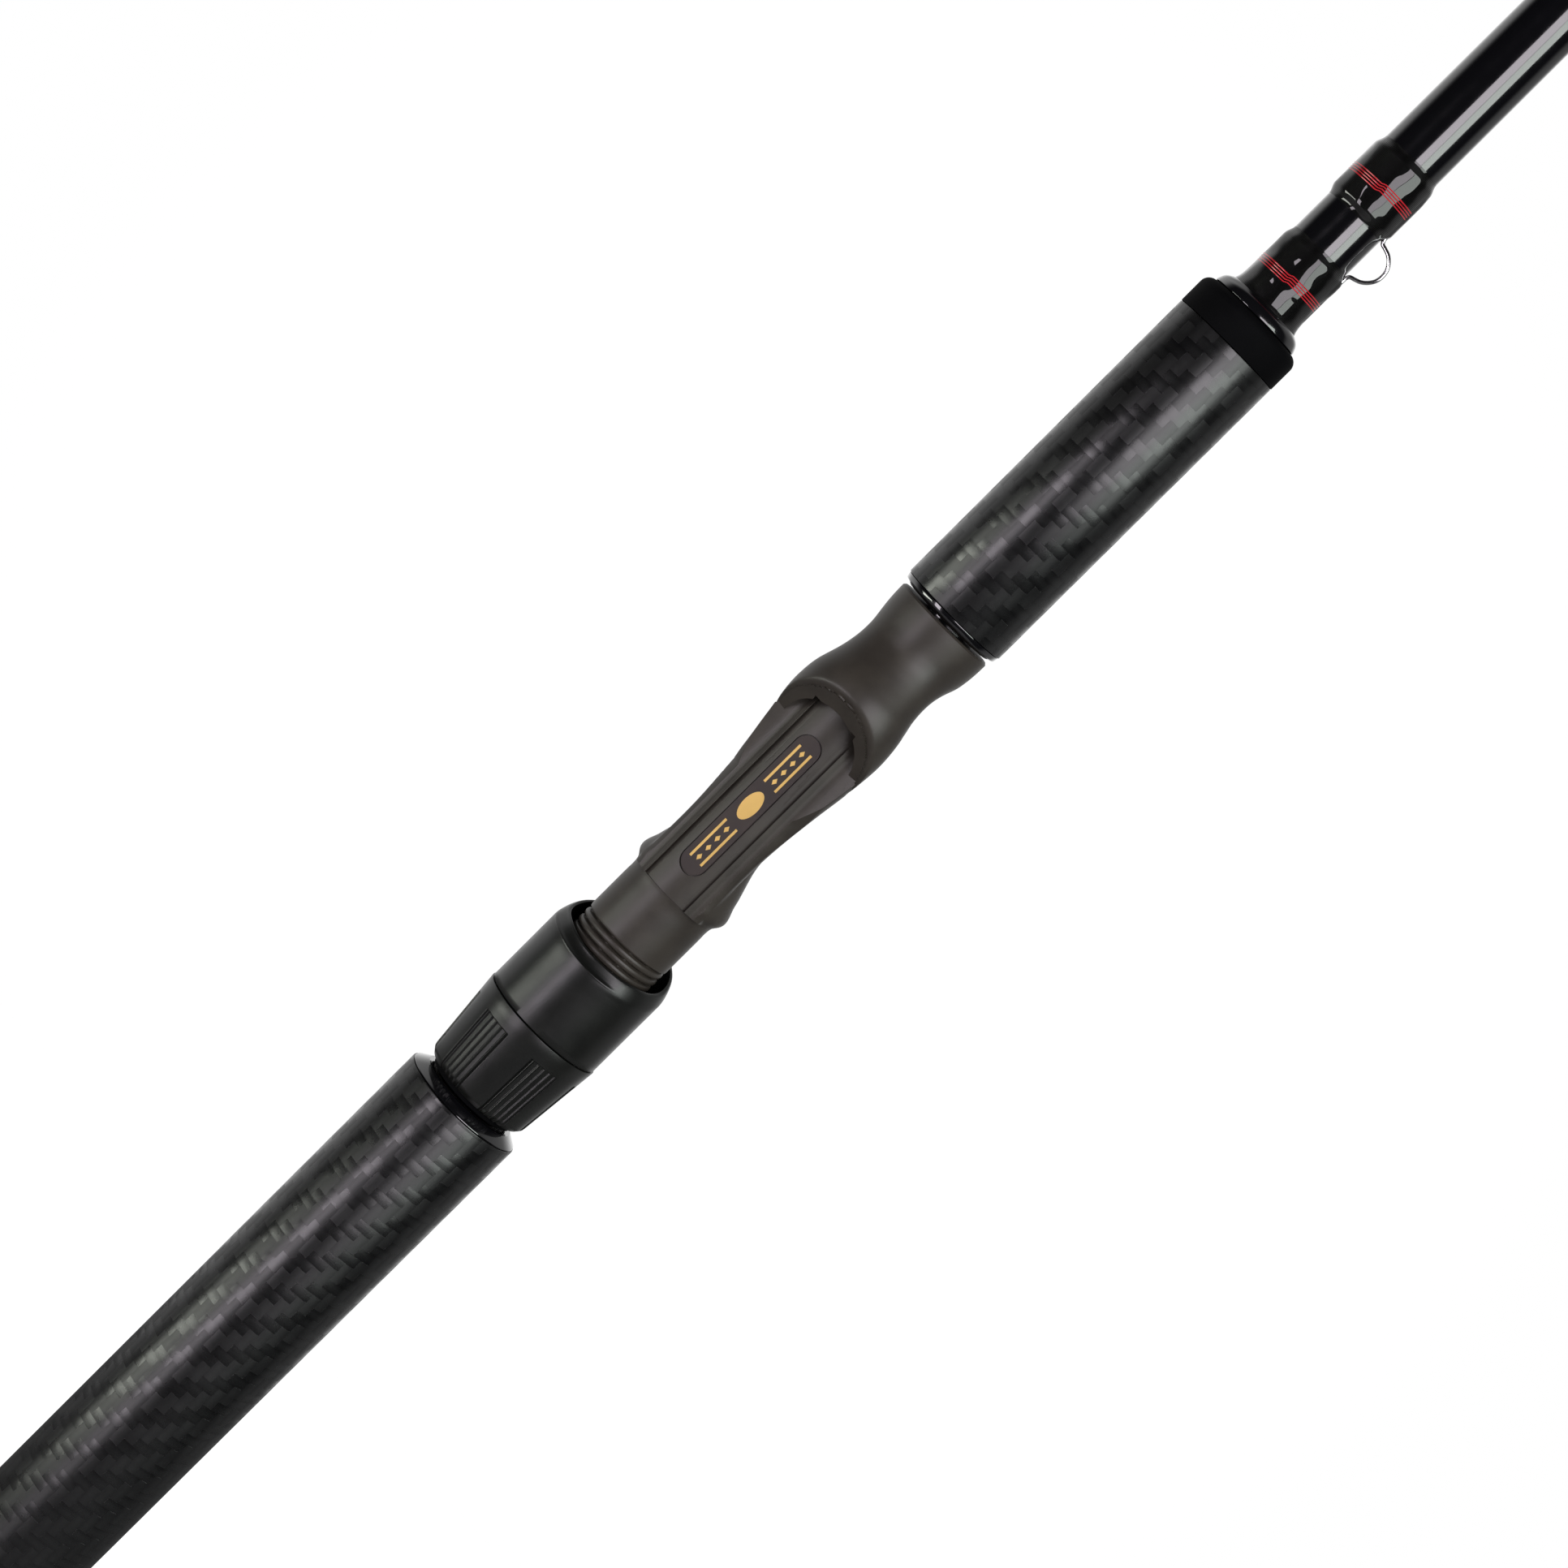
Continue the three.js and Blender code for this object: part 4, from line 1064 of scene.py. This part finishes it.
def guide_hoop(name, size, stand, z):
    inner, outer = size / 2 + 0.02, size / 2 + HOOP_OUT
    z0, z1 = z - HOOP_HALF, z + HOOP_HALF
    corners = [(outer, z0, 0.35), (outer, z1, 0.35), (inner, z1, 0.1), (inner, z0, 0.1)]
    rows = [ring_points(r, h, 96) for r, h in filleted(corners)]
    return tube_mesh(name, stood_off(rows, stand), FRAME, True)


def squared(value, power):
    """A sine or cosine pushed outward, so that a circle becomes a rounded square."""
    return math.copysign(abs(value) ** power, value)


def guide_insert(name, size, stand, z):
    """A polished ring whose inner lip is fully rounded."""
    inner, outer = size / 2 - 0.7 - 0.085 * size, size / 2
    middle, half = (inner + outer) / 2, 0.75 + size * 0.02
    turn = np.linspace(0, 2 * math.pi, 29)[:-1]
    rows = []
    for t in turn:
        r = middle + (outer - inner) / 2 * squared(math.cos(t), 0.8)
        rows.append(ring_points(r, z + half * squared(math.sin(t), 0.8), 96))
    return tube_mesh(name, stood_off(rows, stand), CERAMIC, True)


def flat_section(width, thickness):
    """A flat bar's section with round edges."""
    turn = np.linspace(0, 2 * math.pi, 17)[:-1]
    return [(thickness / 2 * squared(math.sin(t), 0.6), width / 2 * squared(math.cos(t), 0.6))
            for t in turn]


def foot_span(number):
    """Near and far ends of a guide's feet: [(direction, near, far, half width)]."""
    size, stand, z = ring_facts(f"guide_{number}_ring")
    two = f"guide_{number}_wrap_lower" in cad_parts
    spans = []
    for direction in (1, -1) if two else (1,):
        near = z + direction * (0.55 * stand if two else 3.2)
        spans.append((direction, near, near + direction * (8 + 0.35 * size), 0.8 + size * 0.025))
    return spans


def guide_legs(number):
    """Each leg and its foot as one bent flat bar, thinned to a toe under the winding."""
    size, stand, z = ring_facts(f"guide_{number}_ring")
    hoop_r = size / 2 + HOOP_MIDDLE
    made = []
    for direction, near, far, half in foot_span(number):
        rest = blank_radius(min(near, far)) + 0.45
        for angle in (UPPER_LEG_ANGLE, -UPPER_LEG_ANGLE) if direction == 1 else (0.0,):
            start = np.array([hoop_r * math.sin(angle), -stand + hoop_r * math.cos(angle), z])
            side = math.copysign(half * 0.4, angle) if angle else 0.0
            ankle = np.array([side, -rest - 0.1, near - direction * 0.6])
            knee = start * 0.45 + ankle * 0.55 + np.array([0, 0, -direction * 0.05 * stand])
            toe = np.array([side * 0.4, -blank_radius(far) - 0.2, far])
            route = rounded_path([start, knee, ankle, (ankle + toe) / 2, toe], 8)
            width = 1.1 + size * 0.03
            made.append(bar_along(f"guide_{number}_leg_{len(made)}", route, width, 0.85))
    return made


def bar_along(name, route, width, thickness):
    """A flat bar along a route, its width kept across X, its last third thinned to a toe."""
    route = np.asarray(route, float)
    tangents = np.gradient(route, axis=0)
    tangents /= np.linalg.norm(tangents, axis=1)[:, None]
    rows = []
    for k, (centre, tangent) in enumerate(zip(route, tangents)):
        share = k / (len(route) - 1)
        thin = 1 - 0.75 * float(smooth_step(share, 0.7, 1.0))
        across = np.array([1.0, 0, 0]) - tangent * tangent[0]
        across /= np.linalg.norm(across)
        through = np.cross(tangent, across)
        section = flat_section(width * (1 - 0.35 * float(smooth_step(share, 0.8, 1.0))),
                               thickness * thin)
        rows.append([centre + b * across + a * through for a, b in section])
    return tube_mesh(name, rows, FRAME, False)


def join(name, pieces):
    """Several closed solids as one object."""
    points, faces, material = [], [], pieces[0].data.materials[0]
    for piece in pieces:
        start = len(points)
        points.extend(np.array(v.co) / MM for v in piece.data.vertices)
        faces.extend(tuple(start + i for i in f.vertices) for f in piece.data.polygons)
        bpy.data.objects.remove(piece)
    return shade(make_mesh(name, points, faces, material), 40)


def add_guide(number):
    node = f"guide_{number}"
    size, stand, z = ring_facts(f"{node}_ring")
    body = "butt_section" if number == 1 else "tip_section"
    metalwork = [guide_hoop(f"{node}_hoop", size, stand, z), *guide_legs(number)]
    install(join(f"{node}_metalwork", metalwork), body, "guide_frame", f"{node}_frame")
    insert = shade(guide_insert(f"{node}_insert", size, stand, z))
    install(insert, body, "guide_ceramic", f"{node}_ring")
    for direction, near, far, half in foot_span(number):
        which = "upper" if direction == 1 else "lower"
        z0, z1 = sorted((near + direction * 1.6, far + direction * 2.2))
        foot = (0.0, half, 0.75, far, near)
        winding(f"{node}_winding_{which}", z0, z1, body, f"{node}_wrap_{which}", 0.4, foot)
        trim_band(f"{node}_trim_{which}", far + direction * 0.6, body, 0.42, 2, 0.4)


def add_tip_top():
    size, stand, z = ring_facts("tip_top_ring")
    tube_top, tube_bottom = ROD_TOP - 2.6, ROD_TOP - 18
    bore = float(tip_radius(tube_bottom)) + 0.05
    corners = [(0.001, tube_top, 0), (0.001, tube_bottom + 1, 0), (bore, tube_bottom, 0),
               (bore + 0.55, tube_bottom, 0.15), (bore + 0.55, tube_top, 0.5)]
    tube = lathe("tip_tube", corners, FRAME, 48)
    hoop_r = size / 2 + HOOP_MIDDLE
    pieces = [guide_hoop("tip_hoop", size, stand, z), tube]
    for k, angle in enumerate((1.1, -1.1)):
        start = (hoop_r * math.sin(angle), -stand + hoop_r * math.cos(angle), z)
        knee = (start[0] * 0.6, -bore - 1.2, z - 3)
        route = rounded_path([start, knee, (0, -bore - 0.3, z - 8)], 8)
        pieces.append(bar_along(f"tip_leg_{k}", route, 0.9, 0.7))
    brace = rounded_path([(0, -stand + hoop_r, z), (0, -1.0, z - 0.8), (0, 0, z - 2.4)], 6)
    pieces.append(bar_along("tip_brace", brace, 1.4, 0.9))
    install(join("tip_top_metalwork", pieces), "tip_section", "guide_frame", "tip_top_frame")
    insert = shade(guide_insert("tip_top_insert", size, stand, z))
    install(insert, "tip_section", "guide_ceramic", "tip_top_ring")
    z0, z1 = low("tip_top_wrap"), high("tip_top_wrap")
    winding("tip_top_winding", z0 + 1.4, z1 - 0.8, "tip_section", "tip_top_wrap", 0.35)


def add_ferrule():
    z0, z1 = low("ferrule_wrap"), high("ferrule_wrap")
    winding("ferrule_winding", z0 + 1.5, z1 - 1.5, "tip_section", "ferrule_wrap", 0.5)
    trim_band("ferrule_trim_lower", z0 + 3.4, "tip_section", 0.52)
    trim_band("ferrule_trim_upper", z1 - 3.4, "tip_section", 0.52)


def finish_hidden_nodes():
    """The sealed inner pieces keep their CAD shape."""
    for node in ("rear_grip_core", "foregrip_core", "seat_arbor_rear", "seat_arbor_front"):
        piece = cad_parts[node]
        piece.data.materials.clear()
        piece.data.materials.append(RUBBER)


# ---- the scene ----
add_floor()
add_world()
add_light()
add_seat()
add_badge()
add_nut()
add_hood()
add_hood_liner()
add_blanks()
add_grips()
add_butt_end()
add_keeper()
for number in GUIDES:
    add_guide(number)
add_tip_top()
add_ferrule()
finish_hidden_nodes()
